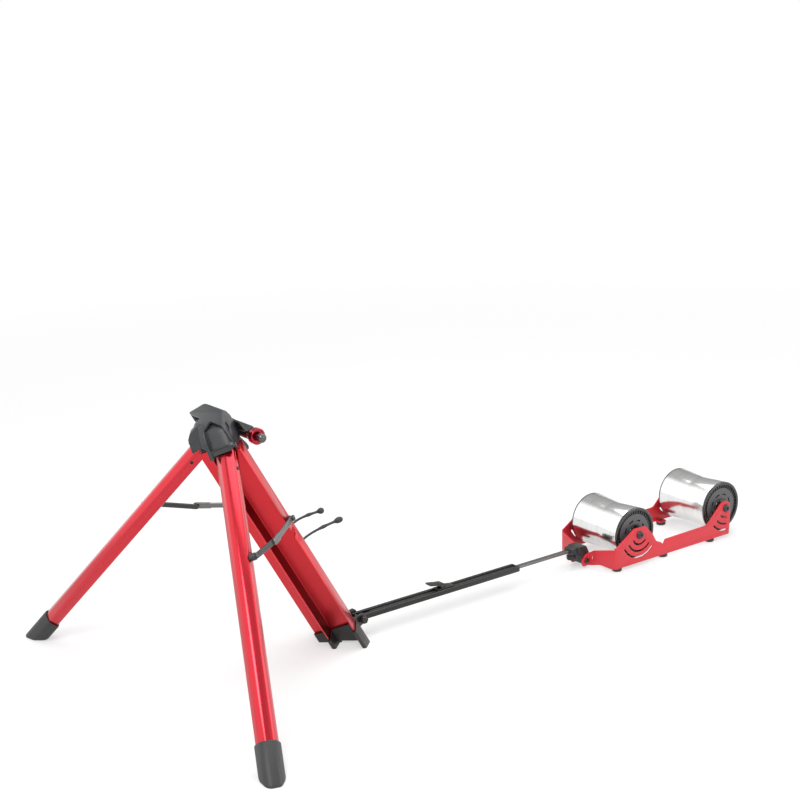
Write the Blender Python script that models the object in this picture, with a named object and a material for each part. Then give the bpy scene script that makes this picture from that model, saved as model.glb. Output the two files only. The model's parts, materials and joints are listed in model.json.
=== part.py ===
"""Folding trainer that holds a bicycle by its fork ends and lets the driven wheel run on two drums.

A tripod with a moulded crown carries the fork axle. A slotted beam hinges at the rear foot, and a flat
bar slides in it and carries the roller frame on a clevis. Metres, Z up, X from the fork to the rollers.
"""
import math

import bmesh
import bpy
from mathutils import Matrix, Vector

# Gaps: SEAT between pieces that are held together, RUN around pieces that turn or slide.
SEAT = 0.0003
RUN = 0.0008

# Tripod: the rear leg leans by LEAN, and each front leg swings out of its channel by SPREAD.
FOOT_X = 0.186
LEAN = math.radians(30)
SPREAD = math.radians(61)

# Rear leg: an X-shaped extrusion whose webs and flanges make one channel for each front leg.
WALL = 0.0025
WEB = 0.052
FRONT_FLANGE = 0.031
OUTER_FLANGE = 0.0275
LEG_TOP = 0.486
LEG_BOTTOM = 0.026
FOOT_TOP = 0.034
FOOT_WALL = 0.0025
FOOT_RELIEF = 0.004

# Front legs: a D-section tube on a pivot pin in the crown, with a rubber boot.
TUBE_WIDTH = 0.035
TUBE_DEPTH = 0.027
TUBE_WALL = 0.0022
TUBE_TOP = 0.009
PIVOT_OUT = 0.0254
PIVOT_DEPTH = 0.019
PIVOT_RISE = 0.006
PIVOT_RADIUS = 0.004
PLUG_LIP = 0.0015
BOOT_LENGTH = 0.065
BOOT_WALL = 0.003
BOOT_FLOOR = 0.032

# Crown: an outer and an inner cheek beside each leg top, a hood between them, and a tilted top plate.
CHEEK_WALL = 0.0035
INNER_CHEEK = 0.0088
CROWN_REAR = 0.0507
CROWN_TOP = 0.0575
CROWN_SLOPE = 0.30
CROWN_SKIN = 0.0045
WING_FRONT = 0.014
SPINE_HALF = 0.0155
HOOD_REACH = 0.0225
# Step between the side faces of rooms that are cut into one another.
STAGGER = 0.00012
LIP_WIDTH = 0.026

# Folding struts: base link on the outer flange, leg link on a knuckle at the leg.
KNUCKLE_REACH = 0.208
KNUCKLE_RADIUS = 0.0065
STRUT_BASE_UP = 0.306
STRUT_BASE_DEPTH = 0.012
STRUT_LOWER = 0.115
STRUT_SAG = 0.0054
LINK_THICK = 0.003
LINK_HALF = 0.0048
STRUT_PIN = 0.003

# Fork carrier behind the crown.
AXLE_BACK = 0.0602
AXLE_DROP = 0.0098
AXLE_TUBE_RADIUS = 0.010
AXLE_HALF = 0.050
CAP_LENGTH = 0.022
CAP_RADIUS = 0.0145
CAP_DISC = 0.012
SKEWER_RADIUS = 0.0025
SKEWER_GRIP = 0.057
PLATE = 0.003

# Beam: hinge behind the foot, slotted rail, sliding bar and its end clamp.
HINGE_BACK = 0.044
BEAM_Z = 0.0378
HINGE_PIN = 0.003
EAR_RADIUS = 0.0095
EAR_WALL = 0.0037
RAIL_WIDTH = 0.024
RAIL_HEIGHT = 0.0105
RAIL_START = 0.006
RAIL_LENGTH = 0.390
RAIL_SLOT = 0.009
BAR_WIDTH = 0.012
BAR_THICK = 0.0045
BAR_INSET = 0.032
LEVER_X = 0.198
LEVER_RADIUS = 0.005
LEVER_RISE = 0.0072
BEAM_REACH = 0.560
CLAMP_BACK = 0.034
CLAMP_HALF = 0.0147

# Roller frame: two folded sheet sides, drums between them.
CLEVIS_Z = 0.0146
CLEVIS_PIN = 0.004
SHEET = 0.0025
FRAME_HALF = 0.0795
FRAME_FRONT = 0.020
DRUM_BACK = 0.0887
DRUM_SPACING = 0.2488
DRUM_Z = 0.065
DRUM_RADIUS = 0.0525
DRUM_WAIST = 0.0485
DRUM_GAP = 0.014
DRUM_HALF = FRAME_HALF - DRUM_GAP
DRUM_WALL = 0.003
CAP_FLANGE = 0.003
AXLE_RADIUS = 0.005
SLEEVE_RADIUS = 0.0085
AXLE_HEAD = 0.0085
PAD_RADIUS = 0.010
PAD_HEIGHT = 0.006
PAD_STEM = 0.003

FINISHES = {
    "red": ((0.62, 0.02, 0.03), 0.30, 0.75),
    "crown": ((0.035, 0.036, 0.038), 0.55, 0.0),
    "rubber": ((0.03, 0.03, 0.03), 0.80, 0.0),
    "black": ((0.015, 0.015, 0.016), 0.35, 0.4),
    "grey": ((0.16, 0.16, 0.15), 0.40, 0.7),
    "steel": ((0.55, 0.55, 0.55), 0.30, 1.0),
    "drum": ((0.80, 0.80, 0.80), 0.12, 1.0),
    "sheet": ((0.68, 0.03, 0.04), 0.40, 0.0),
    "gloss": ((0.012, 0.012, 0.013), 0.18, 0.0),
}


def fillet(corners, steps=3):
    """Closed outline from corners (u, v, radius), with an arc at each corner that has a radius."""
    outline = []
    for index, (u, v, radius) in enumerate(corners):
        here = Vector((u, v))
        if radius <= 0:
            outline.append(here)
            continue
        before = (Vector(corners[index - 1][:2]) - here).normalized()
        after = (Vector(corners[(index + 1) % len(corners)][:2]) - here).normalized()
        half = math.acos(max(-1.0, min(1.0, before.dot(after)))) / 2
        centre = here + (before + after).normalized() * radius / math.sin(half)
        start = here + before * radius / math.tan(half) - centre
        end = here + after * radius / math.tan(half) - centre
        first = math.atan2(start.y, start.x)
        turn = math.atan2(end.y, end.x) - first
        turn = (turn + math.pi) % (2 * math.pi) - math.pi
        for step in range(steps + 1):
            outline.append(centre + polar(radius, first + turn * step / steps))
    return outline


def polar(radius, angle):
    return Vector((radius * math.cos(angle), radius * math.sin(angle)))


def arc(centre, radius, start, end, steps):
    """Points on an arc, angles in degrees."""
    return [Vector(centre) + polar(radius, math.radians(start + (end - start) * k / steps))
            for k in range(steps + 1)]


def arc_slot(centre, radius, start, end, width, steps=8, turns=3):
    """Curved slot outline of even width with round ends, angles in degrees."""
    outline = arc(centre, radius + width / 2, start, end, steps)
    tip = Vector(centre) + polar(radius, math.radians(end))
    outline += arc(tip, width / 2, end, end + 180, turns)[1:-1]
    outline += arc(centre, radius - width / 2, end, start, steps)
    tip = Vector(centre) + polar(radius, math.radians(start))
    outline += arc(tip, width / 2, start + 180, start + 360, turns)[1:-1]
    return outline


def ribbon(path, thickness):
    """Outline of a sheet of even thickness bent along an open path."""
    left = []
    right = []
    for index, point in enumerate(path):
        before = path[max(index - 1, 0)]
        after = path[min(index + 1, len(path) - 1)]
        along = (after - before).normalized()
        normal = Vector((-along.y, along.x)) * thickness / 2
        left.append(point + normal)
        right.append(point - normal)
    return left + right[::-1]


def loft(rings, loop=False):
    """Solid through rings of equal count, capped at both ends or closed onto its first ring."""
    mesh = bmesh.new()
    rows = [[mesh.verts.new(point) for point in ring] for ring in rings]
    pairs = list(zip(rows, rows[1:]))
    if loop:
        pairs.append((rows[-1], rows[0]))
    else:
        mesh.faces.new(rows[0][::-1])
        mesh.faces.new(rows[-1])
    for low, high in pairs:
        for k in range(len(low)):
            mesh.faces.new((low[k - 1], low[k], high[k], high[k - 1]))
    bmesh.ops.remove_doubles(mesh, verts=mesh.verts, dist=1e-6)
    if mesh.calc_volume(signed=True) < 0:
        bmesh.ops.reverse_faces(mesh, faces=mesh.faces)
    return mesh


def prism(outline, low, high):
    return loft([[Vector((p[0], p[1], w)) for p in outline] for w in (low, high)])


def box(low, high):
    outline = [(low[0], low[1]), (high[0], low[1]), (high[0], high[1]), (low[0], high[1])]
    return prism(outline, low[2], high[2])


def lathe(profile, segments=32, loop=False):
    """Turned solid about Z from (radius, height) points."""
    rings = []
    for radius, height in profile:
        ring = [polar(radius, 2 * math.pi * k / segments).to_3d() for k in range(segments)]
        rings.append([point + Vector((0, 0, height)) for point in ring])
    return loft(rings, loop)


def sweep(path, radii, segments=10):
    """Round rod of changing radius along a path."""
    rings = []
    for index, (point, radius) in enumerate(zip(path, radii)):
        along = path[min(index + 1, len(path) - 1)] - path[max(index - 1, 0)]
        turn = along.to_track_quat("Z", "Y")
        ring = [polar(radius, 2 * math.pi * k / segments).to_3d() for k in range(segments)]
        rings.append([point + turn @ spot for spot in ring])
    return loft(rings)


def turned(mesh, matrix):
    """Mesh moved by a matrix, its faces still pointing out if the matrix mirrors."""
    mesh.transform(matrix)
    if matrix.determinant() < 0:
        bmesh.ops.reverse_faces(mesh, faces=mesh.faces)
    return mesh


def together(meshes):
    """Several separate solids in one mesh."""
    whole = bmesh.new()
    for mesh in meshes:
        verts = {vert: whole.verts.new(vert.co) for vert in mesh.verts}
        for face in mesh.faces:
            whole.faces.new([verts[vert] for vert in face.verts])
        mesh.free()
    return whole


def basis(origin, x, y, z):
    matrix = Matrix((x, y, z)).transposed().to_4x4()
    matrix.translation = origin
    return matrix


# Z of a lathe or prism laid along another axis.
ALONG_X = basis((0, 0, 0), (0, 1, 0), (0, 0, 1), (1, 0, 0))
ALONG_Y = basis((0, 0, 0), (0, 0, 1), (1, 0, 0), (0, 1, 0))
# An outline drawn in X and Z, and its depth along -Y or Y.
SIDE_ON = basis((0, 0, 0), (1, 0, 0), (0, 0, 1), (0, -1, 0))

LEG = basis((FOOT_X, 0, 0), (math.cos(LEAN), 0, math.sin(LEAN)), (0, 1, 0), (-math.sin(LEAN), 0, math.cos(LEAN)))
CHANNEL = LEG @ Matrix.Rotation(math.radians(45), 4, "Z")
PIVOT_UP = LEG_TOP + PIVOT_RISE
PIVOT = Vector((PIVOT_OUT, PIVOT_DEPTH, PIVOT_UP))
OPEN_LEG = CHANNEL @ Matrix.Translation(PIVOT) @ Matrix.Rotation(SPREAD, 4, "X")
MIRROR = Matrix.Scale(-1, 4, (0, 1, 0))
SIDES = (("right", Matrix.Identity(4)), ("left", MIRROR))
HINGE = Vector((FOOT_X + HINGE_BACK, 0, BEAM_Z))
CLEVIS = Vector((HINGE.x + BEAM_REACH, 0, CLEVIS_Z))
DRUMS = (("front", CLEVIS.x + DRUM_BACK), ("rear", CLEVIS.x + DRUM_BACK + DRUM_SPACING))
AXLE = LEG @ Vector((AXLE_BACK, 0, LEG_TOP - AXLE_DROP))
# Distance down a front leg from its pivot to the ground.
LEG_REACH = OPEN_LEG.translation.z / OPEN_LEG.col[2].z
TUBE_END = -LEG_REACH + BOOT_FLOOR


def clear_scene():
    for item in list(bpy.data.objects):
        bpy.data.objects.remove(item, do_unlink=True)


def finish(name, kind):
    """Own material for one piece, from the finish it shares with its group."""
    color, roughness, metallic = FINISHES[kind]
    material = bpy.data.materials.new(name + "_finish")
    material.use_nodes = True
    shader = material.node_tree.nodes["Principled BSDF"]
    shader.inputs["Base Color"].default_value = (*color, 1)
    shader.inputs["Roughness"].default_value = roughness
    shader.inputs["Metallic"].default_value = metallic
    material.diffuse_color = (*color, 1)
    return material


def add(name, mesh, place=Matrix.Identity(4), kind="black", pivot=(0, 0, 0)):
    """Put a mesh in the scene, its origin on the pivot and its axes along the world's."""
    turned(mesh, Matrix.Translation(-Vector(pivot)) @ place)
    data = bpy.data.meshes.new(name)
    mesh.to_mesh(data)
    mesh.free()
    for face in data.polygons:
        face.use_smooth = True
    data.set_sharp_from_angle(angle=math.radians(32))
    piece = bpy.data.objects.new(name, data)
    piece.location = pivot
    data.materials.append(finish(name, kind))
    bpy.context.scene.collection.objects.link(piece)
    return piece


def change(piece, mesh, place, operation):
    """Boolean of a piece with a hidden helper solid."""
    count = len(piece.modifiers) + 1
    helper = add(f"{piece.name}_shape_{count}", mesh, place)
    helper.hide_render = True
    helper.display_type = "WIRE"
    step = piece.modifiers.new(f"shape_{count}", "BOOLEAN")
    step.operation = operation
    step.solver = "EXACT"
    step.object = helper


def cut(piece, mesh, place=Matrix.Identity(4)):
    change(piece, mesh, place, "DIFFERENCE")


def join(piece, mesh, place=Matrix.Identity(4)):
    change(piece, mesh, place, "UNION")


def drop(frame, u, v, height):
    """Third coordinate in a frame at which the point (u, v) lies at this height over the ground."""
    return (height - frame.translation.z - u * frame.col[0].z - v * frame.col[1].z) / frame.col[2].z


def spine_outline(grow):
    """Section of the rear leg, grown by an even margin, in leg coordinates (rear, y)."""
    half = WALL / 2 + grow
    tip = half * 0.9
    side = [
        (-half, FRONT_FLANGE + grow, tip),
        (half, FRONT_FLANGE + grow, tip),
        (half, half, 0.001),
        (WEB - WALL - grow, half, 0.001),
        (WEB - WALL - grow, OUTER_FLANGE + grow, tip),
        (WEB + grow, OUTER_FLANGE + grow, tip),
        (WEB + grow, -half, 0.003 + grow),
    ]
    turn = math.sqrt(0.5)
    right = [((u - v) * turn, (u + v) * turn, radius) for u, v, radius in side]
    left = [(u, -v, radius) for u, v, radius in reversed(right)]
    crotch = half * math.sqrt(2)
    return fillet([(-crotch, 0, 0)] + right + [(crotch, 0, 0)] + left, 3)


def rear_leg():
    leg = add("rear_leg", prism(spine_outline(0), LEG_BOTTOM, LEG_TOP), LEG, "red")
    low = STRUT_BASE_DEPTH
    for side, flip in SIDES:
        place = flip @ CHANNEL
        knuckle_up = PIVOT_UP - KNUCKLE_REACH
        room = KNUCKLE_RADIUS + 2 * RUN
        notch = [(PIVOT_DEPTH, room), (OUTER_FLANGE + 0.01, room), (OUTER_FLANGE + 0.01, -room)]
        notch += arc((PIVOT_DEPTH, 0), room, 270, 90, 8)
        through = place @ Matrix.Translation((WEB - WALL - 0.001, 0, knuckle_up)) @ ALONG_X
        cut(leg, prism(notch, 0, WALL + 0.002), through)
        bolt = Matrix.Translation((WEB - WALL - 0.001, low, STRUT_BASE_UP)) @ ALONG_X
        cut(leg, prism(arc((0, 0), STRUT_PIN + SEAT, 0, 330, 11), 0, WALL + 0.002), place @ bolt)
    return leg


def rear_foot():
    outline = spine_outline(FOOT_WALL)
    floor = [Vector((p.x, p.y, drop(LEG, p.x, p.y, 0))) for p in outline]
    top = [Vector((p.x, p.y, FOOT_TOP)) for p in outline]
    foot = add("rear_foot", loft([floor, top]), LEG, "crown")
    cut(foot, prism(spine_outline(SEAT), LEG_BOTTOM - SEAT, FOOT_TOP + 0.01), LEG)
    # Only the flange lugs reach the ground: the webs stop short of it.
    for side, flip in SIDES:
        low = FOOT_WALL * 2.5
        outline = [(low, -0.012), (WEB - low, -0.012), (WEB - low, 0.009), (low, 0.009)]
        deep = [Vector((u, v, -0.06)) for u, v in outline]
        high = [Vector((u, v, drop(CHANNEL, u, v, FOOT_RELIEF))) for u, v in outline]
        cut(foot, loft([deep, high]), flip @ CHANNEL)


def tube_outline(grow, groove=False):
    """Section of a front leg: flat back, straight sides and a rounded crown."""
    half = TUBE_WIDTH / 2 + grow
    back = TUBE_DEPTH / 2 + grow
    shoulder = TUBE_DEPTH * 0.17
    crown = TUBE_WIDTH * 0.14
    right = [(half, -back, 0.003 + grow)]
    if groove:
        depth = 0.0008
        right += [(half, shoulder - 0.0052, 0), (half - depth, shoulder - 0.0046, 0), (half, shoulder - 0.004, 0)]
    right += [(half, shoulder, 0.006 + grow), (crown, back, 0.009 + grow)]
    left = [(-u, v, radius) for u, v, radius in reversed(right)]
    return fillet(right + left, 3)


def boot():
    """Rubber boot: a cup around the leg end, cut flat on the ground with a rounded rim."""
    rings = []
    for height, scale in ((0, 0.86), (0.0015, 0.95), (0.005, 1)):
        outline = [p * scale for p in tube_outline(BOOT_WALL)]
        rings.append([Vector((p.x, p.y, drop(OPEN_LEG, p.x, p.y, height))) for p in outline])
    top = BOOT_LENGTH - LEG_REACH
    for grow, height in ((BOOT_WALL, top - 0.002), (BOOT_WALL - 0.001, top), (SEAT, top), (SEAT, TUBE_END - SEAT)):
        rings.append([Vector((p.x, p.y, height)) for p in tube_outline(grow)])
    return loft(rings)


def pin_hole(radius, low, high):
    return turned(lathe([(0, low), (radius, low), (radius, high), (0, high)], 12), ALONG_X)


def front_legs():
    for side, flip in SIDES:
        place = flip @ OPEN_LEG
        pivot = place.translation
        tube = add(f"front_leg_{side}", prism(tube_outline(0, True), TUBE_END, TUBE_TOP), place, "red", pivot)
        cut(tube, prism(tube_outline(-TUBE_WALL), TUBE_END - 0.01, TUBE_TOP + 0.01), place)
        cut(tube, pin_hole(PIVOT_RADIUS + SEAT, -TUBE_WIDTH, TUBE_WIDTH), place)
        knuckle = Matrix.Translation((0, 0, -KNUCKLE_REACH))
        cut(tube, pin_hole(STRUT_PIN + SEAT, 0, TUBE_WIDTH), place @ knuckle)
        add(f"leg_boot_{side}", boot(), place, "rubber", pivot)
        rings = []
        for grow, height in ((-TUBE_WALL - SEAT, PIVOT_RADIUS + 0.001), (-TUBE_WALL - SEAT, TUBE_TOP + SEAT),
                             (-0.0006, TUBE_TOP + SEAT), (-0.0012, TUBE_TOP + SEAT + PLUG_LIP)):
            rings.append([Vector((p.x, p.y, height)) for p in tube_outline(grow)])
        add(f"leg_plug_{side}", loft(rings), place, "crown", pivot)
        # Knuckle: screw through the tube wall, round block, and a pin for the leg link.
        wall = TUBE_WIDTH / 2
        link = WEB + 2 * RUN + SEAT + LINK_THICK - PIVOT_OUT
        profile = [(0, wall - 0.006), (STRUT_PIN, wall - 0.006), (STRUT_PIN, wall + SEAT)]
        profile += [(KNUCKLE_RADIUS, wall + SEAT), (KNUCKLE_RADIUS, link - LINK_THICK - SEAT)]
        profile += [(STRUT_PIN, link - LINK_THICK - SEAT), (STRUT_PIN, link), (0, link)]
        add(f"strut_knuckle_{side}", turned(lathe(profile, 16), ALONG_X), place @ knuckle, "crown", pivot)


def tube_room():
    """Half width between the cheeks of a leg."""
    return TUBE_WIDTH / 2 + RUN


def crown_side():
    """Outer face of the outer cheeks, from the middle of the extrusion along its channel."""
    return PIVOT_OUT + tube_room() + CHEEK_WALL


def roof(u, v, skin=0.0):
    """Height of the top plate over a point of a channel, less a skin."""
    back = (u - v) * math.sqrt(0.5)
    return LEG_TOP + CROWN_TOP + (back - WING_FRONT) * CROWN_SLOPE - skin


def crown_body():
    """Top plate, core and outer cheeks: a side profile trimmed to the plan of the crown."""
    base = LEG_TOP + SEAT
    nose = -0.005
    rear_top = 0.0390
    top = [LEG_TOP + CROWN_TOP + (back - WING_FRONT) * CROWN_SLOPE for back in (nose, rear_top)]
    profile = [(nose, base, 0), (nose, top[0], 0.004), (rear_top, top[1], 0.005), (0.0465, LEG_TOP + 0.054, 0.012)]
    profile += [(CROWN_REAR, LEG_TOP + 0.040, 0.010), (CROWN_REAR, base, 0.001)]
    head = add("head_crown", prism(fillet(profile, 3), -0.06, 0.06), LEG @ SIDE_ON, "crown")
    # Both sides run along the planes of the outer cheeks.
    wide = crown_side() * math.sqrt(2)
    plan = [(nose - 0.001, SPINE_HALF, 0), (WING_FRONT, SPINE_HALF, 0.002), (WING_FRONT, wide - WING_FRONT, 0.0015)]
    plan += [(CROWN_REAR + 0.001, wide - CROWN_REAR - 0.001, 0)]
    plan += [(u, -v, radius) for u, v, radius in reversed(plan)]
    change(head, prism(fillet(plan, 3), LEG_TOP - 0.01, LEG_TOP + 0.09), LEG, "INTERSECT")
    return head


def hood():
    """Rounded cover over the end of a leg, in the channel's axes from the pivot."""
    slope = math.radians(33)
    along = Vector((-math.sin(slope), math.cos(slope)))
    out = Vector((math.cos(slope), math.sin(slope)))
    half = tube_room() + 0.0008
    rings = []
    for step in range(9):
        x = -math.cos(math.pi * step / 8) * half
        sink = 0.005 * (1 - math.sqrt(1 - (x / (half + 0.0006)) ** 2))
        reach = HOOD_REACH - sink
        path = [out * reach - along * 0.006, out * reach + along * 0.006, out * reach + along * 0.027]
        path += [Vector((-0.0060, 0.0425 - sink)), Vector((-0.0240, 0.0435 - sink)), Vector((-0.0240, 0.004))]
        path += [Vector((0.0, 0.002))]
        rings.append([Vector((x, p.x, p.y)) for p in path])
    return loft(rings)


def collar():
    """Flared arch over the front of an open leg, in the leg's axes. Its rim droops on the inner side."""
    rings = []
    low = 0.009
    for share in (0.0, 0.4, 0.75, 1.0):
        half = 0.0208 + (LIP_WIDTH - 0.0208) * share ** 2
        rise = 0.0115 + 0.0040 * share ** 2
        ring = []
        for step in range(13):
            turn = math.pi * step / 12
            u = math.cos(turn) * half
            g = low + math.sin(turn) ** 0.7 * rise
            droop = (0.0255 - g) * (1 - u / half) * 0.36 + 0.003 * math.sin(turn) ** 2
            ring.append(Vector((u, g, 0.0079 - (0.0137 + droop) * share)))
        rings.append(ring)
    return loft(rings)


def fan():
    """Room that the sides of a leg need between its open and its folded place, in the open leg's axes."""
    reach = LEG_REACH * 0.2
    room = TUBE_DEPTH / 2 + RUN
    shoulder = TUBE_DEPTH * 0.17 + RUN
    spread = math.degrees(SPREAD)
    folded = math.radians(270 - spread)
    outline = [Vector((shoulder, -reach)), Vector((shoulder, 0.004)), polar(shoulder, folded + math.pi / 2)]
    outline += [polar(room, folded - math.pi / 2), polar(reach, folded) + polar(room, folded - math.pi / 2)]
    outline += [polar(reach, folded), polar(reach * 1.2, (folded + math.radians(270)) / 2)]
    half = tube_room() - STAGGER
    return turned(prism(outline, -half, half), ALONG_X)


def swing():
    """Round room for the end of a leg as it turns about its pivot."""
    end = TUBE_TOP + PLUG_LIP + SEAT + RUN
    half = tube_room() - STAGGER * 2
    profile = [(0, -half), (math.hypot(TUBE_DEPTH * 0.17 + RUN, end), -half)]
    profile += [(math.hypot(TUBE_DEPTH * 0.44, end), -half * 0.62), (math.hypot(TUBE_DEPTH / 2 + RUN, end), -half * 0.3)]
    profile += [(radius, -height) for radius, height in reversed(profile)]
    return turned(lathe(profile, 20), ALONG_X)


def heel_room():
    """Room for the square heel of a leg's end, which turns up and forward as the leg folds."""
    radius = math.hypot(TUBE_DEPTH / 2, TUBE_TOP + PLUG_LIP) + RUN
    outline = [Vector((0, 0))]
    outline += [polar(radius, math.radians(58 + 12 * step)) for step in range(9)]
    half = tube_room() - STAGGER * 1.5
    return turned(prism(outline, -half, half), ALONG_X)


def inner_cheek(head, place):
    """Arm that runs down from the spine beside a leg, with a sunk field in its outer face."""
    low = PIVOT_OUT - tube_room() - INNER_CHEEK
    high = PIVOT_OUT - tube_room() + 0.001
    outline = [(-0.006, 0.0011, 0), (-0.006, 0.0555, 0), (0.008, 0.0550, 0.006), (0.023, 0.0470, 0.012)]
    outline += [(0.0325, 0.0360, 0.010), (0.0370, 0.0235, 0.008), (0.0415, 0.0055, 0.0015), (0.0385, 0.0040, 0.001)]
    outline += [(0.0270, 0.0110, 0.003), (0.0265, -0.0020, 0.006), (0.0110, -0.0030, 0.004), (0.0100, 0.0011, 0)]
    join(head, turned(prism(fillet(outline, 3), low, high), ALONG_X), place @ Matrix.Translation((0, 0, LEG_TOP)))
    sunk = [(0.0010, -0.010, 0), (0.0010, 0.0330, 0.002), (0.0125, 0.0360, 0.008), (0.0440, 0.0240, 0), (0.0480, -0.010, 0)]
    pocket = prism(fillet(sunk, 2), low - 0.01, low + INNER_CHEEK - 0.0055)
    cut(head, turned(pocket, ALONG_X), place @ Matrix.Translation((0, 0, LEG_TOP)))


def outer_cheek(head, place):
    """Front edge, pivot eye and hand hole of an outer cheek."""
    low = PIVOT_OUT + tube_room() - 0.003
    high = crown_side() + 0.004
    at_top = place @ Matrix.Translation((0, 0, LEG_TOP))
    edge = [(0.0290, 0.0480, 0), (0.0240, 0.0380, 0.006), (0.0255, -0.010, 0), (0.0400, -0.010, 0), (0.0400, 0.0480, 0)]
    cut(head, turned(prism(fillet(edge, 3), low, high), ALONG_X), at_top)
    window = [(0.0030, 0.0340, 0.002), (0.0150, 0.0330, 0.002), (0.0160, 0.0480, 0.002), (0.0040, 0.0500, 0.002)]
    cut(head, turned(prism(fillet(window, 2), low, high), ALONG_X), at_top)


def crown():
    head = crown_body()
    for side, flip in SIDES:
        place = flip @ CHANNEL
        # Room between the cheeks, open to the front, under the top plate.
        near, far = PIVOT_OUT - tube_room() + STAGGER * 3, PIVOT_OUT + tube_room() - STAGGER * 3
        plan = [(near, -0.004), (far, -0.004), (far, 0.060), (near, 0.060)]
        floor = [Vector((u, v, LEG_TOP - 0.02)) for u, v in plan]
        ceiling = [Vector((u, v, roof(u, v, CROWN_SKIN))) for u, v in plan]
        cut(head, loft([floor, ceiling]), place)
    for side, flip in SIDES:
        place = flip @ CHANNEL
        pivot = flip @ CHANNEL @ Matrix.Translation(PIVOT)
        outer_cheek(head, place)
        inner_cheek(head, place)
        join(head, hood(), pivot)
        join(head, collar(), flip @ OPEN_LEG)
    # The crown plugs over the end of the extrusion.
    cut(head, prism(spine_outline(SEAT), LEG_TOP - 0.1, LEG_TOP + SEAT * 0.9), LEG)
    for side, flip in SIDES:
        place = flip @ OPEN_LEG
        room = prism(tube_outline(RUN), -LEG_REACH * 0.3, TUBE_TOP + PLUG_LIP + SEAT + RUN)
        cut(head, room, place)
        cut(head, fan(), place)
        cut(head, swing(), place)
        cut(head, heel_room(), place)
        cut(head, pin_hole(PIVOT_RADIUS + SEAT, -0.04, 0.04), place)
    for sign in (-1, 1):
        cut(head, pin_hole(0.0023, CROWN_REAR - 0.010, CROWN_REAR + 0.01), LEG @ crown_screw(sign))
    head.modifiers.new("merge", "WELD").merge_threshold = 0.00002
    return head


def crown_screw(sign):
    """Place of a screw that fixes the fork carrier to the crown's rear face."""
    return Matrix.Translation((0, sign * 0.011, LEG_TOP + 0.014))


def pivot_pins():
    low = PIVOT_OUT - tube_room() - INNER_CHEEK + 0.0050
    half = crown_side() - PIVOT_OUT + SEAT
    for side, flip in SIDES:
        profile = [(0, low - PIVOT_OUT), (PIVOT_RADIUS, low - PIVOT_OUT), (PIVOT_RADIUS, half), (0.0055, half)]
        profile += [(0.0055, half + 0.0011), (0.0047, half + 0.0015), (0, half + 0.0015)]
        add(f"leg_pivot_pin_{side}", turned(lathe(profile, 14), ALONG_X), flip @ OPEN_LEG, "steel")


def strut_points():
    """Open-pose joints of a strut in the channel's (depth, up) plane: base, knee and knuckle."""
    base = Vector((STRUT_BASE_DEPTH, STRUT_BASE_UP))
    swing = Vector((math.sin(SPREAD), -math.cos(SPREAD)))
    knuckle = Vector((PIVOT_DEPTH, PIVOT_UP)) + swing * KNUCKLE_REACH
    along = (knuckle - base).normalized()
    below = Vector((along.y, -along.x))
    knee = base + along * math.sqrt(STRUT_LOWER ** 2 - STRUT_SAG ** 2) + below * STRUT_SAG
    return base, knee, knuckle


def link_outline(start, end, half, sleeve=0.0):
    """Flat link between two points with round ends, wider over the last stretch if it has a sleeve."""
    length = (end - start).length
    outline = arc((0, 0), half, 90, 270, 8)
    if sleeve:
        outline += [Vector((length - sleeve, -half)), Vector((length - sleeve, -half - 0.0014))]
    outline += arc((length, 0), half + (0.0014 if sleeve else 0), -90, 90, 8)
    if sleeve:
        outline += [Vector((length - sleeve, half + 0.0014)), Vector((length - sleeve, half))]
    angle = math.atan2(end.y - start.y, end.x - start.x)
    turn = Matrix.Rotation(angle, 2)
    return [turn @ point + start for point in outline]


def struts():
    base, knee, knuckle = strut_points()
    inner = WEB + 2 * RUN + SEAT
    outer = inner + LINK_THICK + 2 * SEAT
    for side, flip in SIDES:
        place = flip @ CHANNEL
        hinge = place @ Vector((inner, knuckle.x, knuckle.y))
        upper = prism(link_outline(knuckle, knee, LINK_HALF), inner, inner + LINK_THICK)
        upper = add(f"strut_upper_{side}", turned(upper, ALONG_X), place, "grey", hinge)
        eye = Matrix.Translation((0, knuckle.x, knuckle.y))
        cut(upper, pin_hole(STRUT_PIN + SEAT, inner - 0.01, inner + 0.01), place @ eye)
        stub = Matrix.Translation((0, knee.x, knee.y))
        join(upper, pin_hole(STRUT_PIN, inner + 0.001, inner + LINK_THICK + SEAT), place @ stub)
        hinge = place @ Vector((outer, base.x, base.y))
        lower = prism(link_outline(base, knee, LINK_HALF, 0.026), outer, outer + LINK_THICK)
        lower = add(f"strut_lower_{side}", turned(lower, ALONG_X), place, "grey", hinge)
        eye = Matrix.Translation((0, base.x, base.y))
        cut(lower, pin_hole(STRUT_PIN + SEAT, outer - 0.01, outer + 0.01), place @ eye)
        profile = [(0, WEB - WALL - 0.0028), (0.005, WEB - WALL - 0.0028), (0.005, WEB - WALL - SEAT)]
        profile += [(STRUT_PIN, WEB - WALL - SEAT), (STRUT_PIN, WEB + SEAT), (0.006, WEB + SEAT)]
        profile += [(0.006, outer - SEAT), (STRUT_PIN, outer - SEAT), (STRUT_PIN, outer + LINK_THICK + SEAT)]
        profile += [(0.0055, outer + LINK_THICK + SEAT), (0.0050, outer + LINK_THICK + 0.003)]
        profile += [(0, outer + LINK_THICK + 0.003)]
        add(f"strut_anchor_{side}", turned(lathe(profile, 14), ALONG_X), place @ eye, "black")


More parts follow.
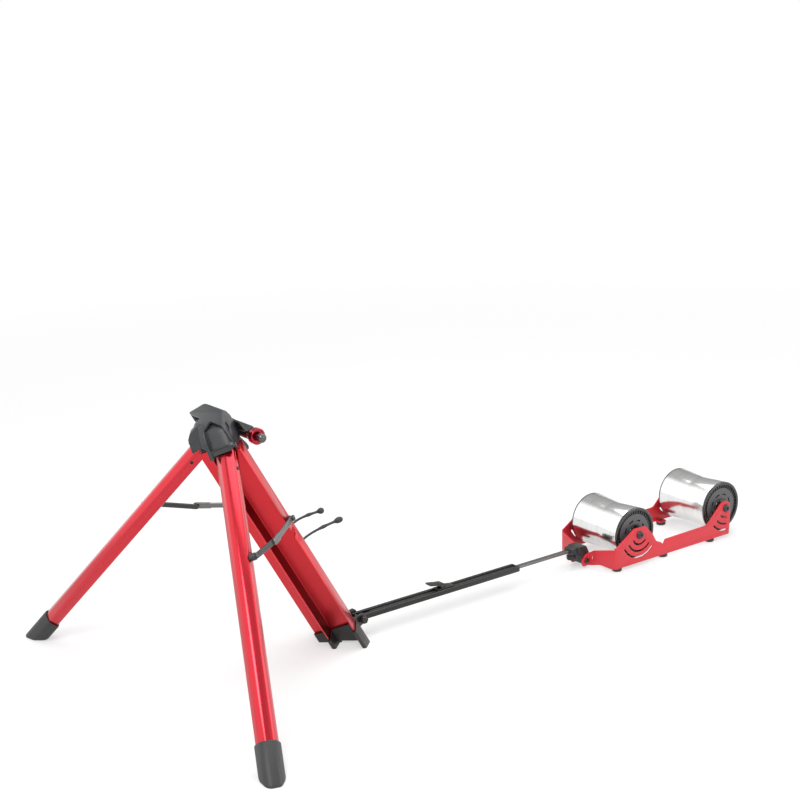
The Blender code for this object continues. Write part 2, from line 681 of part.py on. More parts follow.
def hold_down_pulls():
    """Two rubber pulls with a bead and a ball, rooted in the rear face of the left web."""
    place = MIRROR @ CHANNEL
    for name, up, reach, sink in (("upper", 0.2785, 0.0655, 0.0141), ("lower", 0.2385, 0.0875, 0.0158)):
        root = Vector((0.042, -WALL / 2 - SEAT, up))
        ball = MIRROR @ LEG.inverted() @ place @ root + Vector((reach, 0.0112, -sink))
        ball = CHANNEL.inverted() @ LEG @ ball
        path = []
        radii = []
        stops = [(0, 0.0045), (0.02, 0.0045), (0.021, 0.0019), (0.1, 0.0019), (0.22, 0.0019), (0.36, 0.0019),
                 (0.52, 0.0019), (0.66, 0.0020), (0.70, 0.0031), (0.74, 0.0033), (0.78, 0.0020), (0.895, 0.0020),
                 (0.905, 0.0038), (0.925, 0.0052), (0.95, 0.0058), (0.975, 0.0052), (0.993, 0.0036), (1.0, 0.0010)]
        first = root + Vector((0, -0.022, 0.001))
        for share, radius in stops:
            rest = 1 - share
            path.append(root * rest ** 2 + first * 2 * rest * share + ball * share ** 2)
            radii.append(radius)
        add(f"hold_down_pull_{name}", sweep(path, radii), place, "rubber")


def fork_carrier():
    face = CROWN_REAR + SEAT
    shelf = LEG_TOP + 0.0030
    # Bent plate: tab on the crown and a shelf over the axle tube.
    path = fillet([(face + PLATE / 2, LEG_TOP + 0.026, 0), (face + PLATE / 2, shelf, 0.003),
                   (AXLE_BACK + 0.0075, shelf, 0)], 3)
    bracket = add("axle_carrier", prism(ribbon(path, PLATE), -0.036, 0.036), LEG @ SIDE_ON, "black")
    across = LEG @ basis((0, 0, 0), (0, 1, 0), (0, 0, 1), (1, 0, 0))
    for sign in (-1, 1):
        cut(bracket, pin_hole(0.0023, face - 0.01, face + 0.01), LEG @ crown_screw(sign))
        side = [(sign * 0.040, LEG_TOP + 0.030), (sign * 0.029, LEG_TOP + 0.030), (sign * 0.0345, LEG_TOP + 0.008)]
        side += [(sign * 0.040, LEG_TOP + 0.008)]
        cut(bracket, prism(side, face - 0.01, face + PLATE + 0.001), across)
    # The tube is welded under the shelf.
    drum = lathe([(0, -0.05), (AXLE_TUBE_RADIUS + SEAT, -0.05), (AXLE_TUBE_RADIUS + SEAT, 0.05), (0, 0.05)], 28)
    cut(bracket, turned(drum, ALONG_Y), Matrix.Translation(AXLE))
    half = AXLE_HALF - CAP_LENGTH - SEAT
    bore = SKEWER_RADIUS + SEAT
    tube = [(AXLE_TUBE_RADIUS, -half), (AXLE_TUBE_RADIUS, half), (bore, half), (bore, -half)]
    add("axle_tube", turned(lathe(tube, 24, True), ALONG_Y), Matrix.Translation(AXLE), "black")
    inner = AXLE_HALF - CAP_LENGTH
    disc = AXLE_HALF - CAP_DISC
    cap = [(bore, inner), (AXLE_TUBE_RADIUS, inner), (AXLE_TUBE_RADIUS, disc - 0.0014)]
    cap += [(CAP_RADIUS - 0.0012, disc), (CAP_RADIUS, disc + 0.0012), (CAP_RADIUS, AXLE_HALF - 0.0008)]
    cap += [(CAP_RADIUS - 0.0008, AXLE_HALF), (bore, AXLE_HALF)]
    for side, flip in SIDES:
        add(f"axle_cap_{side}", turned(lathe(cap, 28, True), ALONG_Y), flip @ Matrix.Translation(AXLE), "red")
    for side, sign in (("left", -1), ("right", 1)):
        low = face + PLATE + SEAT
        profile = [(0, face - 0.008), (0.002, face - 0.008), (0.002, low), (0.0042, low), (0.0042, low + 0.0018)]
        profile += [(0.0030, low + 0.0028), (0.0016, low + 0.0028), (0.0016, low + 0.0012), (0, low + 0.0012)]
        screw = turned(lathe(profile, 12), crown_screw(sign) @ ALONG_X)
        add(f"carrier_screw_{side}", screw, LEG, "steel")


LEVER_ANGLE = math.radians(-48)
LEVER_HUB = Vector((0, SKEWER_GRIP + 0.009, 0))


def skewer():
    # Rod with a nut on the left and the cam housing on the right.
    grip = SKEWER_GRIP + SEAT
    rod = [(0, -grip - 0.0095), (SKEWER_RADIUS, -grip - 0.0095), (SKEWER_RADIUS, -grip - 0.009), (0.0052, -grip - 0.009)]
    rod += [(0.0078, -grip - 0.0065), (0.0085, -grip - 0.002), (0.0085, -grip), (SKEWER_RADIUS, -grip)]
    rod += [(SKEWER_RADIUS, grip), (0.0085, grip), (0.0085, grip + 0.003), (0.0072, grip + 0.0045), (0, grip + 0.0045)]
    add("skewer", turned(lathe(rod, 18), ALONG_Y), Matrix.Translation(AXLE), "steel")
    # Cam lever: barrel across the skewer and a curved handle that points down and back.
    hub = AXLE + LEVER_HUB
    turn = Matrix.Translation(hub) @ Matrix.Rotation(-LEVER_ANGLE, 4, "Y")
    barrel = lathe([(0, -0.0075), (0.0038, -0.0075), (0.0038, 0.0075), (0, 0.0075)], 20)
    lever = add("skewer_lever", barrel, turn, "black", hub)
    low = [(0.0, -0.0030, 0), (0.012, -0.0030, 0.004), (0.040, 0.0008, 0.02), (0.082, 0.0035, 0.0015)]
    top = [(0.083, 0.0070, 0.0015), (0.040, 0.0052, 0.02), (0.010, 0.0028, 0.004), (0.0, 0.0028, 0)]
    handle = turned(prism(fillet(low + top, 3), -0.0072, 0.0072), basis((0, 0, 0), (1, 0, 0), (0, 1, 0), (0, 0, 1)))
    join(lever, handle, turn)
    for sign in (-1, 1):
        trim = [(0.010, sign * 0.012), (0.010, sign * 0.0072), (0.030, sign * 0.0052), (0.070, sign * 0.0062)]
        trim += [(0.078, sign * 0.0050), (0.0845, sign * 0.0), (0.095, sign * 0.0), (0.095, sign * 0.012)]
        cut(lever, prism(trim, -0.02, 0.02), turn @ basis((0, 0, 0), (1, 0, 0), (0, 0, 1), (0, -1, 0)))


def beam_hinge():
    hinge = LEG.inverted() @ HINGE
    half = RAIL_WIDTH / 2 + 2 * SEAT + EAR_WALL
    shy = FOOT_WALL * math.sqrt(2) + WALL / math.sqrt(2) + SEAT * 1.5
    plan = [(shy, 0, 0), (shy + half, half, 0), (0.036, half, 0), (0.036, -half, 0), (shy + half, -half, 0)]
    bracket = add("beam_hinge_bracket", prism(fillet(plan, 1), 0.001, 0.034), LEG, "black")
    r = EAR_RADIUS
    ear = [(0.026, 0.002, 0), (hinge.x - 0.016, hinge.z - r, 0.002), (hinge.x + r, hinge.z - r, r * 0.98)]
    ear += [(hinge.x + r, hinge.z + r, r * 0.98), (hinge.x - 0.010, hinge.z + r + 0.004, 0.003), (0.026, 0.033, 0)]
    join(bracket, prism(fillet(ear, 4), -half + 0.0001, half - 0.0001), LEG @ SIDE_ON)
    gap = RAIL_WIDTH / 2 + 2 * SEAT
    swing = math.hypot(RAIL_START, RAIL_HEIGHT) + 3 * RUN
    slot = [(hinge.x - swing, -0.02), (0.09, -0.02), (0.09, 0.06), (hinge.x - swing, 0.06)]
    cut(bracket, prism(slot, -gap, gap), LEG @ SIDE_ON)
    bore = turned(lathe([(0, -0.03), (HINGE_PIN + SEAT, -0.03), (HINGE_PIN + SEAT, 0.03), (0, 0.03)], 14), ALONG_Y)
    cut(bracket, bore, Matrix.Translation(HINGE))
    low = -half - SEAT
    pin = [(0, low - 0.008), (HINGE_PIN, low - 0.008), (HINGE_PIN, half + SEAT), (0.0055, half + SEAT)]
    pin += [(0.0055, half + 0.0028), (0.0042, half + 0.0038), (0, half + 0.0038)]
    add("beam_hinge_pin", turned(lathe(pin, 14), ALONG_Y), Matrix.Translation(HINGE), "steel")
    add("beam_hinge_knob", knob(0.0072, 0.0105, HINGE_PIN + SEAT, 6), Matrix.Translation(HINGE + Vector((0, low, 0)))
        @ basis((0, 0, 0), (1, 0, 0), (0, 0, 1), (0, -1, 0)), "crown")


def knob(radius, height, bore, lobes):
    """Moulded grip with lobes and, unless it is moulded onto its stem, a blind bore, from Z 0 upward."""
    steps = lobes * 4
    ring = [radius * (0.93 + 0.07 * math.cos(lobes * 2 * math.pi * k / steps)) for k in range(steps)]
    rings = []
    for height_now, scale in ((0, 0.72), (height * 0.18, 0.72), (height * 0.28, 1.0), (height * 0.85, 1.0), (height, 0.86)):
        rings.append([(polar(ring[k] * scale, 2 * math.pi * k / steps)).to_3d() + Vector((0, 0, height_now))
                      for k in range(steps)])
    inside = [[polar(bore, 2 * math.pi * k / steps).to_3d() + Vector((0, 0, w)) for k in range(steps)]
              for w in (height * 0.82, 0)] if bore else []
    return loft(inside + rings)


def beam():
    start = -RAIL_START
    end = RAIL_LENGTH - RAIL_START
    wide = RAIL_WIDTH / 2
    tall = RAIL_HEIGHT / 2
    cave = BAR_WIDTH / 2 + SEAT
    deep = BAR_THICK / 2 + SEAT
    slot = RAIL_SLOT / 2
    right = [(wide, -tall, 0.0012), (wide, tall, 0.0012), (slot, tall, 0.0005), (slot, deep, 0), (cave, deep, 0)]
    right += [(cave, -deep, 0)]
    outline = fillet(right + [(-u, v, radius) for u, v, radius in reversed(right)], 2)
    along = Matrix.Translation(HINGE) @ ALONG_X
    rail = add("beam_rail", prism(outline, start, end), along, "black", HINGE)
    bore = turned(lathe([(0, -0.03), (HINGE_PIN + SEAT, -0.03), (HINGE_PIN + SEAT, 0.03), (0, 0.03)], 14), ALONG_Y)
    cut(rail, bore, Matrix.Translation(HINGE))
    # Open end: a moulded guide around the bar.
    lip = [(wide - 0.0003, -tall + 0.0003, 0.001), (wide - 0.0003, tall - 0.0003, 0.001)]
    lip += [(-wide + 0.0003, tall - 0.0003, 0.001), (-wide + 0.0003, -tall + 0.0003, 0.001)]
    hole = [(cave, -deep, 0.0002), (cave, deep, 0.0002), (-cave, deep, 0.0002), (-cave, -deep, 0.0002)]
    low, high = end + SEAT, end + 0.004
    rings = [[Vector((p.x, p.y, w)) for p in fillet(edge, 2)]
             for edge, w in ((lip, low), (lip, high), (hole, high), (hole, low))]
    add("rail_guide", loft(rings, True), along, "crown", HINGE)
    # Saddle and stud of the beam lever.
    top = tall + SEAT
    seat = top + 0.0016
    profile = [(-0.013, top, 0), (0.029, top, 0), (0.029, top + 0.0012, 0), (0.014, seat + 0.0022, 0)]
    profile += [(0.0075, seat + 0.0022, 0), (0.0060, seat, 0), (-0.013, seat, 0)]
    place = Matrix.Translation(HINGE + Vector((LEVER_X, 0, 0)))
    saddle = add("lever_saddle", prism([(u, v) for u, v, _ in profile], -0.0085, 0.0085), place @ SIDE_ON, "crown", HINGE)
    cut(saddle, box((-0.0029, -0.0031, 0), (0.0029, 0.0031, 0.02)), place)
    hub = tall + LEVER_RISE
    stud = add("lever_stud", lathe([(0, deep + SEAT), (0.0024, deep + SEAT), (0.0024, hub), (0, hub)], 12), place, "steel",
               HINGE)
    eye = turned(lathe([(0, -0.0028), (0.0034, -0.0028), (0.0034, 0.0028), (0, 0.0028)], 12), ALONG_Y)
    join(stud, eye, place @ Matrix.Translation((0, 0, hub)))
    pin = turned(lathe([(0, -0.0078), (0.0015, -0.0078), (0.0015, 0.0078), (0, 0.0078)], 10), ALONG_Y)
    join(stud, pin, place @ Matrix.Translation((0, 0, hub)))
    return hub


def beam_lever():
    hub = HINGE + Vector((LEVER_X, 0, RAIL_HEIGHT / 2 + LEVER_RISE))
    place = Matrix.Translation(hub)
    barrel = turned(lathe([(0, -0.0075), (LEVER_RADIUS, -0.0075), (LEVER_RADIUS, 0.0075), (0, 0.0075)], 16), ALONG_Y)
    lever = add("beam_lever", barrel, place, "crown", hub)
    profile = [(0.002, 0.0048, 0), (-0.010, 0.0062, 0.004), (-0.030, 0.0098, 0.0015), (-0.0305, 0.0060, 0.0015)]
    profile += [(-0.012, 0.0022, 0.004), (-0.004, -0.001, 0), (0.002, -0.001, 0)]
    join(lever, prism(fillet(profile, 3), -0.0074, 0.0074), place @ SIDE_ON)
    cut(lever, box((-0.0037, -0.0031, -0.006), (0.0037, 0.0031, 0.0037)), place)
    cut(lever, box((-0.0036, -0.0031, -0.0036), (0.006, 0.0031, 0.0036)), place)
    bore = turned(lathe([(0, -0.02), (0.0018, -0.02), (0.0018, 0.02), (0, 0.02)], 10), ALONG_Y)
    cut(lever, bore, place)


def slide_bar():
    start = BAR_INSET
    end = BEAM_REACH - 0.005
    outline = [(BAR_WIDTH / 2, -BAR_THICK / 2, 0.0007), (BAR_WIDTH / 2, BAR_THICK / 2, 0.0007)]
    outline += [(-u, v, radius) for u, v, radius in reversed(outline)]
    add("slide_bar", prism(fillet(outline, 2), start, end), Matrix.Translation(HINGE) @ ALONG_X, "grey", HINGE)
    # End clamp: holds the bar end and reaches down to the clevis pin.
    back = CLAMP_BACK
    rise = BEAM_Z - CLEVIS_Z
    top = rise + BAR_THICK / 2 + 0.0055
    low = rise - BAR_THICK / 2 - 0.0045
    profile = [(-back, low, 0.0015), (-back, top - 0.002, 0.002), (-0.018, top, 0.002), (0.002, top, 0.004)]
    profile += [(0.0095, rise * 0.72, 0.004), (0.0095, -0.009, 0.009), (-0.0095, -0.009, 0.009), (-0.0095, low, 0.003)]
    block = prism(fillet(profile, 3), -CLAMP_HALF, CLAMP_HALF)
    block = add("bar_end_clamp", block, Matrix.Translation(CLEVIS) @ SIDE_ON, "crown", HINGE)
    cave = BAR_WIDTH / 2 + SEAT
    deep = BAR_THICK / 2 + SEAT
    pocket = box((-back - 0.01, -cave, rise - deep), (-0.005 + SEAT, cave, rise + deep))
    cut(block, pocket, Matrix.Translation(CLEVIS))
    bore = turned(lathe([(0, -0.03), (CLEVIS_PIN + SEAT, -0.03), (CLEVIS_PIN + SEAT, 0.03), (0, 0.03)], 14), ALONG_Y)
    cut(block, bore, Matrix.Translation(CLEVIS))
    stem = lathe([(0, 0), (0.0033, 0), (0.0033, rise), (0, rise)], 16)
    cut(block, stem, Matrix.Translation(CLEVIS + Vector((KNOB_X, 0, 0))))
    # Sides of the clamp are cut in above the clevis tabs.
    for sign in (-1, 1):
        low_cut, high_cut = sorted((sign * (CLAMP_HALF - 0.0035), sign * (CLAMP_HALF + 0.01)))
        cut(block, box((-back - 0.01, low_cut, low - 0.001), (-0.020, high_cut, top + 0.01)), Matrix.Translation(CLEVIS))


KNOB_X = -0.0255


def clamp_knob():
    rise = BEAM_Z - CLEVIS_Z
    low = rise - BAR_THICK / 2 - 0.0045
    centre = CLEVIS + Vector((KNOB_X, 0, low - 2 * SEAT))
    grip = knob(0.0100, 0.0115, 0, 6)
    body = add("clamp_knob", grip, Matrix.Translation(centre) @ Matrix.Rotation(math.pi, 4, "X"), "crown", centre)
    reach = 0.0045 + 2 * SEAT - SEAT
    join(body, lathe([(0, -0.004), (0.0030, -0.004), (0.0030, reach), (0, reach)], 16), Matrix.Translation(centre))


def plate_top():
    """Upper edge of a side plate from the front bend to the rear end, in X from the clevis and Z."""
    front, rear = DRUM_BACK, DRUM_BACK + DRUM_SPACING
    z = DRUM_Z
    edge = [(FRAME_FRONT - 0.004, z - 0.0167, 0), (FRAME_FRONT + 0.0065, z - 0.0130, 0.004)]
    edge += [(front - 0.0160, z + 0.0160, 0.010), (front + 0.0165, z + 0.0147, 0.010)]
    edge += [(front + 0.0372, z - 0.0085, 0.015), (front + 0.0460, z - 0.0240, 0.010), (front + 0.0600, z - 0.0300, 0.004)]
    edge += [(front + 0.0660, z - 0.0363, 0.002), (front + 0.0719, z - 0.0263, 0.003)]
    edge += [(rear - 0.0562, z - 0.0251, 0.012), (rear - 0.0160, z + 0.0125, 0.010), (rear - 0.0036, z + 0.0170, 0.008)]
    edge += [(rear + 0.0110, z + 0.0110, 0.008), (rear + 0.0132, z - 0.0180, 0.02), (rear + 0.0095, 0.0040, 0)]
    return edge


def side_plates():
    """Folded sheet: clevis tab, slanted front wall and long side wall with slotted ears."""
    outer = FRAME_HALF - SHEET / 2
    tab = CLAMP_HALF + SEAT + SHEET / 2
    rear = DRUM_BACK + DRUM_SPACING + 0.0132
    path = [(-0.014, tab, 0), (FRAME_FRONT - 0.0125, tab, 0.003), (FRAME_FRONT + SHEET / 2, outer, 0.004), (rear, outer, 0)]
    path = fillet(path, 3)
    top_edge = plate_top()
    floor = PAD_HEIGHT + SEAT
    high = DRUM_Z + 0.05
    for side, flip in SIDES:
        place = flip @ Matrix.Translation((CLEVIS.x, 0, 0))
        plate = prism(ribbon(path, SHEET), 0.002, DRUM_Z + 0.022)
        plate = add(f"side_plate_{side}", plate, place, "sheet", CLEVIS)
        across = place @ basis((0, 0, 0), (1, 0, 0), (0, 0, 1), (0, -1, 0))
        # Side wall: everything over its upper edge and under its lower edge is cut off.
        sky = top_edge + [(rear + 0.02, -0.01, 0), (rear + 0.03, high, 0), (FRAME_FRONT - 0.004, high, 0)]
        cut(plate, prism(fillet(sky, 3), -FRAME_HALF - 0.01, -FRAME_HALF + 0.012), across)
        under = [(FRAME_FRONT + 0.012, floor), (FRAME_FRONT + 0.020, floor + 0.0003), (rear - 0.004, floor + 0.0003)]
        under += [(rear + 0.02, floor + 0.0003), (rear + 0.02, -0.01), (-0.03, -0.01), (-0.03, floor), (0.014, floor)]
        cut(plate, prism(under, -FRAME_HALF - 0.01, -FRAME_HALF + 0.012), across)
        # Front wall and tab: concave top, arched foot, round tab end.
        facing = place @ basis((0, 0, 0), (0, 1, 0), (0, 0, 1), (1, 0, 0))
        sky = [(0.010, 0.0300, 0), (0.019, 0.0305, 0.006), (0.028, 0.0365, 0.01), (0.048, 0.0410, 0.02)]
        sky += [(FRAME_HALF - 0.0115, 0.0455, 0.005), (FRAME_HALF + 0.01, 0.0500, 0), (FRAME_HALF + 0.01, high, 0)]
        sky += [(0.010, high, 0)]
        cut(plate, prism(fillet(sky, 2), -0.03, FRAME_FRONT + 0.002), facing)
        under = [(0.010, 0.0035, 0), (0.022, 0.0040, 0.006), (0.045, 0.0095, 0.02), (FRAME_HALF - 0.012, floor, 0.01)]
        under += [(FRAME_HALF + 0.01, floor, 0), (FRAME_HALF + 0.01, -0.02, 0), (0.010, -0.02, 0)]
        cut(plate, prism(fillet(under, 2), -0.03, FRAME_FRONT + 0.002), facing)
        end = [(0.0075, 0.0320, 0), (0.0075, 0.0300, 0), (-0.0030, 0.0268, 0.012), (-0.0118, CLEVIS_Z + 0.001, 0.011)]
        end += [(-0.0105, 0.0030, 0.007), (0.0075, 0.0035, 0.001), (0.0075, -0.01, 0), (-0.03, -0.01, 0), (-0.03, 0.032, 0)]
        cut(plate, prism(fillet(end, 3), -tab - 0.004, -tab + 0.004), across)
        # Clevis bore, axle bores and the arc slots in both ears.
        holes = [(0, CLEVIS_Z, CLEVIS_PIN + SEAT, -tab)]
        for name, centre in (("front", DRUM_BACK), ("rear", DRUM_BACK + DRUM_SPACING)):
            holes.append((centre, DRUM_Z, AXLE_RADIUS + SEAT, -outer))
            start, end = (208, 317) if name == "front" else (222, 271)
            for radius in (0.0200, 0.0340, 0.0470):
                slot = arc_slot((centre, DRUM_Z), radius, start, end, 0.0042, 6, 2)
                cut(plate, prism(slot, -outer - 0.005, -outer + 0.005), across)
        for x, z, radius, depth in holes:
            cut(plate, prism(arc((x, z), radius, 0, 337.5, 15), depth - 0.005, depth + 0.005), across)
        relief = [(0.0235, 0.0165, 0.0012), (0.0265, 0.0165, 0.0012), (0.0265, 0.0250, 0.0012), (0.0235, 0.0250, 0.0012)]
        cut(plate, prism(fillet(relief, 1), -0.01, FRAME_FRONT + 0.002), facing)
        # Inward tabs that carry the rubber pads.
        for x in PAD_PLACES:
            inner = FRAME_HALF - 0.018
            corners = [(x - 0.011, FRAME_HALF - 0.001, 0), (x - 0.009, inner, 0.005), (x + 0.009, inner, 0.005)]
            corners += [(x + 0.011, FRAME_HALF - 0.001, 0)]
            join(plate, prism(fillet(corners, 2), floor, floor + SHEET), place)
            hole = arc((x, FRAME_HALF - 0.009), PAD_STEM + SEAT, 0, 324, 9)
            cut(plate, prism(hole, floor - 0.005, floor + 0.01), place)


PAD_PLACES = (FRAME_FRONT + 0.014, FRAME_FRONT + 0.142, FRAME_FRONT + 0.278)


def pads():
    top = PAD_HEIGHT + SEAT + SHEET + SEAT
    profile = [(0, 0), (PAD_RADIUS - 0.001, 0), (PAD_RADIUS, 0.0015), (PAD_RADIUS, PAD_HEIGHT)]
    profile += [(PAD_STEM, PAD_HEIGHT), (PAD_STEM, top), (0.0043, top), (0.0036, top + 0.0022), (0, top + 0.0022)]
    for side, flip in SIDES:
        for spot, x in zip(("front", "middle", "rear"), PAD_PLACES):
            place = flip @ Matrix.Translation((CLEVIS.x + x, FRAME_HALF - 0.009, 0))
            add(f"roller_pad_{spot}_{side}", lathe(profile, 14), place, "rubber", CLEVIS)


def clevis_bolt():
    low = CLAMP_HALF + SEAT + SHEET + SEAT
    profile = [(0, -low - 0.003), (0.0043, -low - 0.003), (0.0052, -low - 0.002), (0.0052, -low), (CLEVIS_PIN, -low)]
    profile += [(CLEVIS_PIN, low), (0.0052, low), (0.0052, low + 0.003), (0, low + 0.003)]
    add("clevis_bolt", turned(lathe(profile, 16), ALONG_Y), Matrix.Translation(CLEVIS), "black", CLEVIS)


def drum_place(x):
    return Matrix.Translation((x, 0, DRUM_Z))


def drum_axles():
    """Fixed axle of each drum: rod, two sleeves that space the plates, and a domed socket head on each end."""
    inside = FRAME_HALF - SHEET - SEAT
    outside = FRAME_HALF + SEAT
    cap = DRUM_HALF + RUN
    for name, x in DRUMS:
        half = [(0.0025, outside + 0.0020), (0.0025, outside + 0.0045), (0.0058, outside + 0.0045)]
        half += [(AXLE_HEAD, outside + 0.0012), (AXLE_HEAD, outside), (AXLE_RADIUS, outside), (AXLE_RADIUS, inside)]
        half += [(SLEEVE_RADIUS, inside), (SLEEVE_RADIUS, cap), (AXLE_RADIUS, cap)]
        profile = [(0, outside + 0.0020)] + half + [(r, -w) for r, w in reversed(half)] + [(0, -outside - 0.0020)]
        add(f"drum_axle_{name}", turned(lathe(profile, 16), ALONG_Y), drum_place(x), "black", CLEVIS)


def drum_cap():
    """End cap: flange over the shell end, stepped disc and hub bored for the axle."""
    face = DRUM_HALF
    seat = face - CAP_FLANGE
    spigot = DRUM_RADIUS - DRUM_WALL - SEAT - 0.0006
    bore = AXLE_RADIUS + RUN
    profile = [(bore, face - 0.0085), (spigot, face - 0.0085), (spigot, seat), (DRUM_RADIUS, seat)]
    profile += [(DRUM_RADIUS, face), (0.0465, face), (0.0455, face - 0.0030), (0.0180, face - 0.0030)]
    profile += [(0.0165, face - 0.0006), (bore, face - 0.0006)]
    return turned(lathe(profile, 32, True), ALONG_Y)


def drums():
    seat = DRUM_HALF - CAP_FLANGE - SEAT
    shell = [(DRUM_RADIUS, -seat), (DRUM_WAIST, -0.006), (DRUM_WAIST, 0.006), (DRUM_RADIUS, seat)]
    shell += [(DRUM_RADIUS - DRUM_WALL, seat), (DRUM_WAIST - DRUM_WALL, 0), (DRUM_RADIUS - DRUM_WALL, -seat)]
    for name, x in DRUMS:
        place = drum_place(x)
        centre = place.translation
        add(f"drum_shell_{name}", turned(lathe(shell, 48, True), ALONG_Y), place, "drum", centre)
        for side, flip in SIDES:
            cap = add(f"drum_cap_{name}_{side}", drum_cap(), flip @ place, "gloss", centre)
            slots = []
            for k in range(8):
                outline = arc_slot((0, 0), 0.0375, 45 * k + 10, 45 * k + 35, 0.0100, 2, 2)
                slots.append(prism(outline, DRUM_HALF - 0.02, DRUM_HALF + 0.01))
            cut(cap, turned(together(slots), ALONG_Y), flip @ place)


def stand_on_centre():
    """Move everything so that the box over all pieces is centred on the origin and stands on the ground."""
    bpy.context.view_layer.update()
    graph = bpy.context.evaluated_depsgraph_get()
    pieces = [item for item in bpy.context.scene.objects if not item.hide_render]
    corners = []
    for item in pieces:
        solid = item.evaluated_get(graph)
        corners += [solid.matrix_world @ Vector(corner) for corner in solid.bound_box]
    low = min(corner.x for corner in corners)
    high = max(corner.x for corner in corners)
    shift = -round((low + high) / 2, 4)
    for item in bpy.context.scene.objects:
        item.location.x += shift
    bpy.context.view_layer.update()
    return shift


def build():
    clear_scene()
    rear_leg()
    rear_foot()
    crown()
    pivot_pins()
    front_legs()
    struts()
    hold_down_pulls()
    fork_carrier()
    skewer()
    beam_hinge()
    beam()
    beam_lever()
    slide_bar()
    clamp_knob()
    side_plates()
    pads()
    clevis_bolt()
    drum_axles()
    drums()
    stand_on_centre()


build()
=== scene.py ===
import json

import bmesh
import bpy
from math import cos, pi, radians, sin, tau
from mathutils import Matrix, Vector


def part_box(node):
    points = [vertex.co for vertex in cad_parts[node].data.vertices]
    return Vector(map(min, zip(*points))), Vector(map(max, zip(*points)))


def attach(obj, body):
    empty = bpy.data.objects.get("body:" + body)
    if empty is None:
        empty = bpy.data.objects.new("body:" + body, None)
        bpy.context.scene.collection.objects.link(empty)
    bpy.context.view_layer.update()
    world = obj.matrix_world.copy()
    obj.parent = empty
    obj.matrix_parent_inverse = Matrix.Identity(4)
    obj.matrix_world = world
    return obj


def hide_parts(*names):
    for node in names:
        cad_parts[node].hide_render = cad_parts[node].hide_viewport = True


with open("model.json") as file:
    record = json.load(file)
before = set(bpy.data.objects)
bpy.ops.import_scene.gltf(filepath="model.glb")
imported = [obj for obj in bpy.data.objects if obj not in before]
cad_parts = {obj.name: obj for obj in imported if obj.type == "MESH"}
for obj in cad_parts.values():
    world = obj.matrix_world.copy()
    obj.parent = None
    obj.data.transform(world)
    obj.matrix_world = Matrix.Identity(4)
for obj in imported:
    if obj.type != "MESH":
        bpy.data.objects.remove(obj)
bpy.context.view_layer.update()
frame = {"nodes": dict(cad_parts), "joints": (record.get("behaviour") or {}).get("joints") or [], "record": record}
bodies = frame["record"]["behaviour"]["bodies"]


# Rear leg.
# One long aluminium extrusion, cut square, brushed and dyed red. Its webs carry the crown and the foot.

def shader_group(name, inputs, outputs):
    """An empty shader group with named sockets, and its input and output nodes."""
    tree = bpy.data.node_groups.new(name, "ShaderNodeTree")
    for label, kind, value in inputs:
        socket = tree.interface.new_socket(label, in_out="INPUT", socket_type=kind)
        socket.default_value = value
    for label, kind in outputs:
        tree.interface.new_socket(label, in_out="OUTPUT", socket_type=kind)
    return tree, tree.nodes.new("NodeGroupInput"), tree.nodes.new("NodeGroupOutput")


def maths(tree, operation, *values, clamp=False):
    """One Math node fed by sockets or numbers."""
    node = tree.nodes.new("ShaderNodeMath")
    node.operation = operation
    node.use_clamp = clamp
    for socket, value in zip(node.inputs, values):
        if isinstance(value, bpy.types.NodeSocket):
            tree.links.new(value, socket)
        else:
            socket.default_value = value
    return node.outputs[0]


def noise(tree, vector, scale, detail=3.0, roughness=0.55):
    """One Noise node on a vector, its scale fed by a socket or a number."""
    node = tree.nodes.new("ShaderNodeTexNoise")
    node.inputs["Detail"].default_value = detail
    node.inputs["Roughness"].default_value = roughness
    tree.links.new(vector, node.inputs["Vector"])
    if isinstance(scale, bpy.types.NodeSocket):
        tree.links.new(scale, node.inputs["Scale"])
    else:
        node.inputs["Scale"].default_value = scale
    return node.outputs[0]


def edge_rub_group():
    """Mask of outer edges that hands and the floor have rubbed, broken up by a noise."""
    tree, given, result = shader_group(
        "edge_rub",
        [("Width", "NodeSocketFloat", 0.0008), ("Strength", "NodeSocketFloat", 5.0)],
        [("Edge", "NodeSocketFloat")],
    )
    rounded = tree.nodes.new("ShaderNodeBevel")
    rounded.samples = 4
    tree.links.new(given.outputs["Width"], rounded.inputs["Radius"])
    facing = tree.nodes.new("ShaderNodeNewGeometry")
    turn = tree.nodes.new("ShaderNodeVectorMath")
    turn.operation = "DOT_PRODUCT"
    tree.links.new(rounded.outputs[0], turn.inputs[0])
    tree.links.new(facing.outputs["Normal"], turn.inputs[1])
    bent = maths(tree, "SUBTRACT", 1.0, turn.outputs["Value"])
    place = tree.nodes.new("ShaderNodeTexCoord")
    patchy = maths(tree, "MULTIPLY", noise(tree, place.outputs["Object"], 240.0), 1.6)
    rubbed = maths(tree, "MULTIPLY", bent, given.outputs["Strength"])
    worn = maths(tree, "MULTIPLY", rubbed, patchy, clamp=True)
    tree.links.new(worn, result.inputs["Edge"])
    return tree


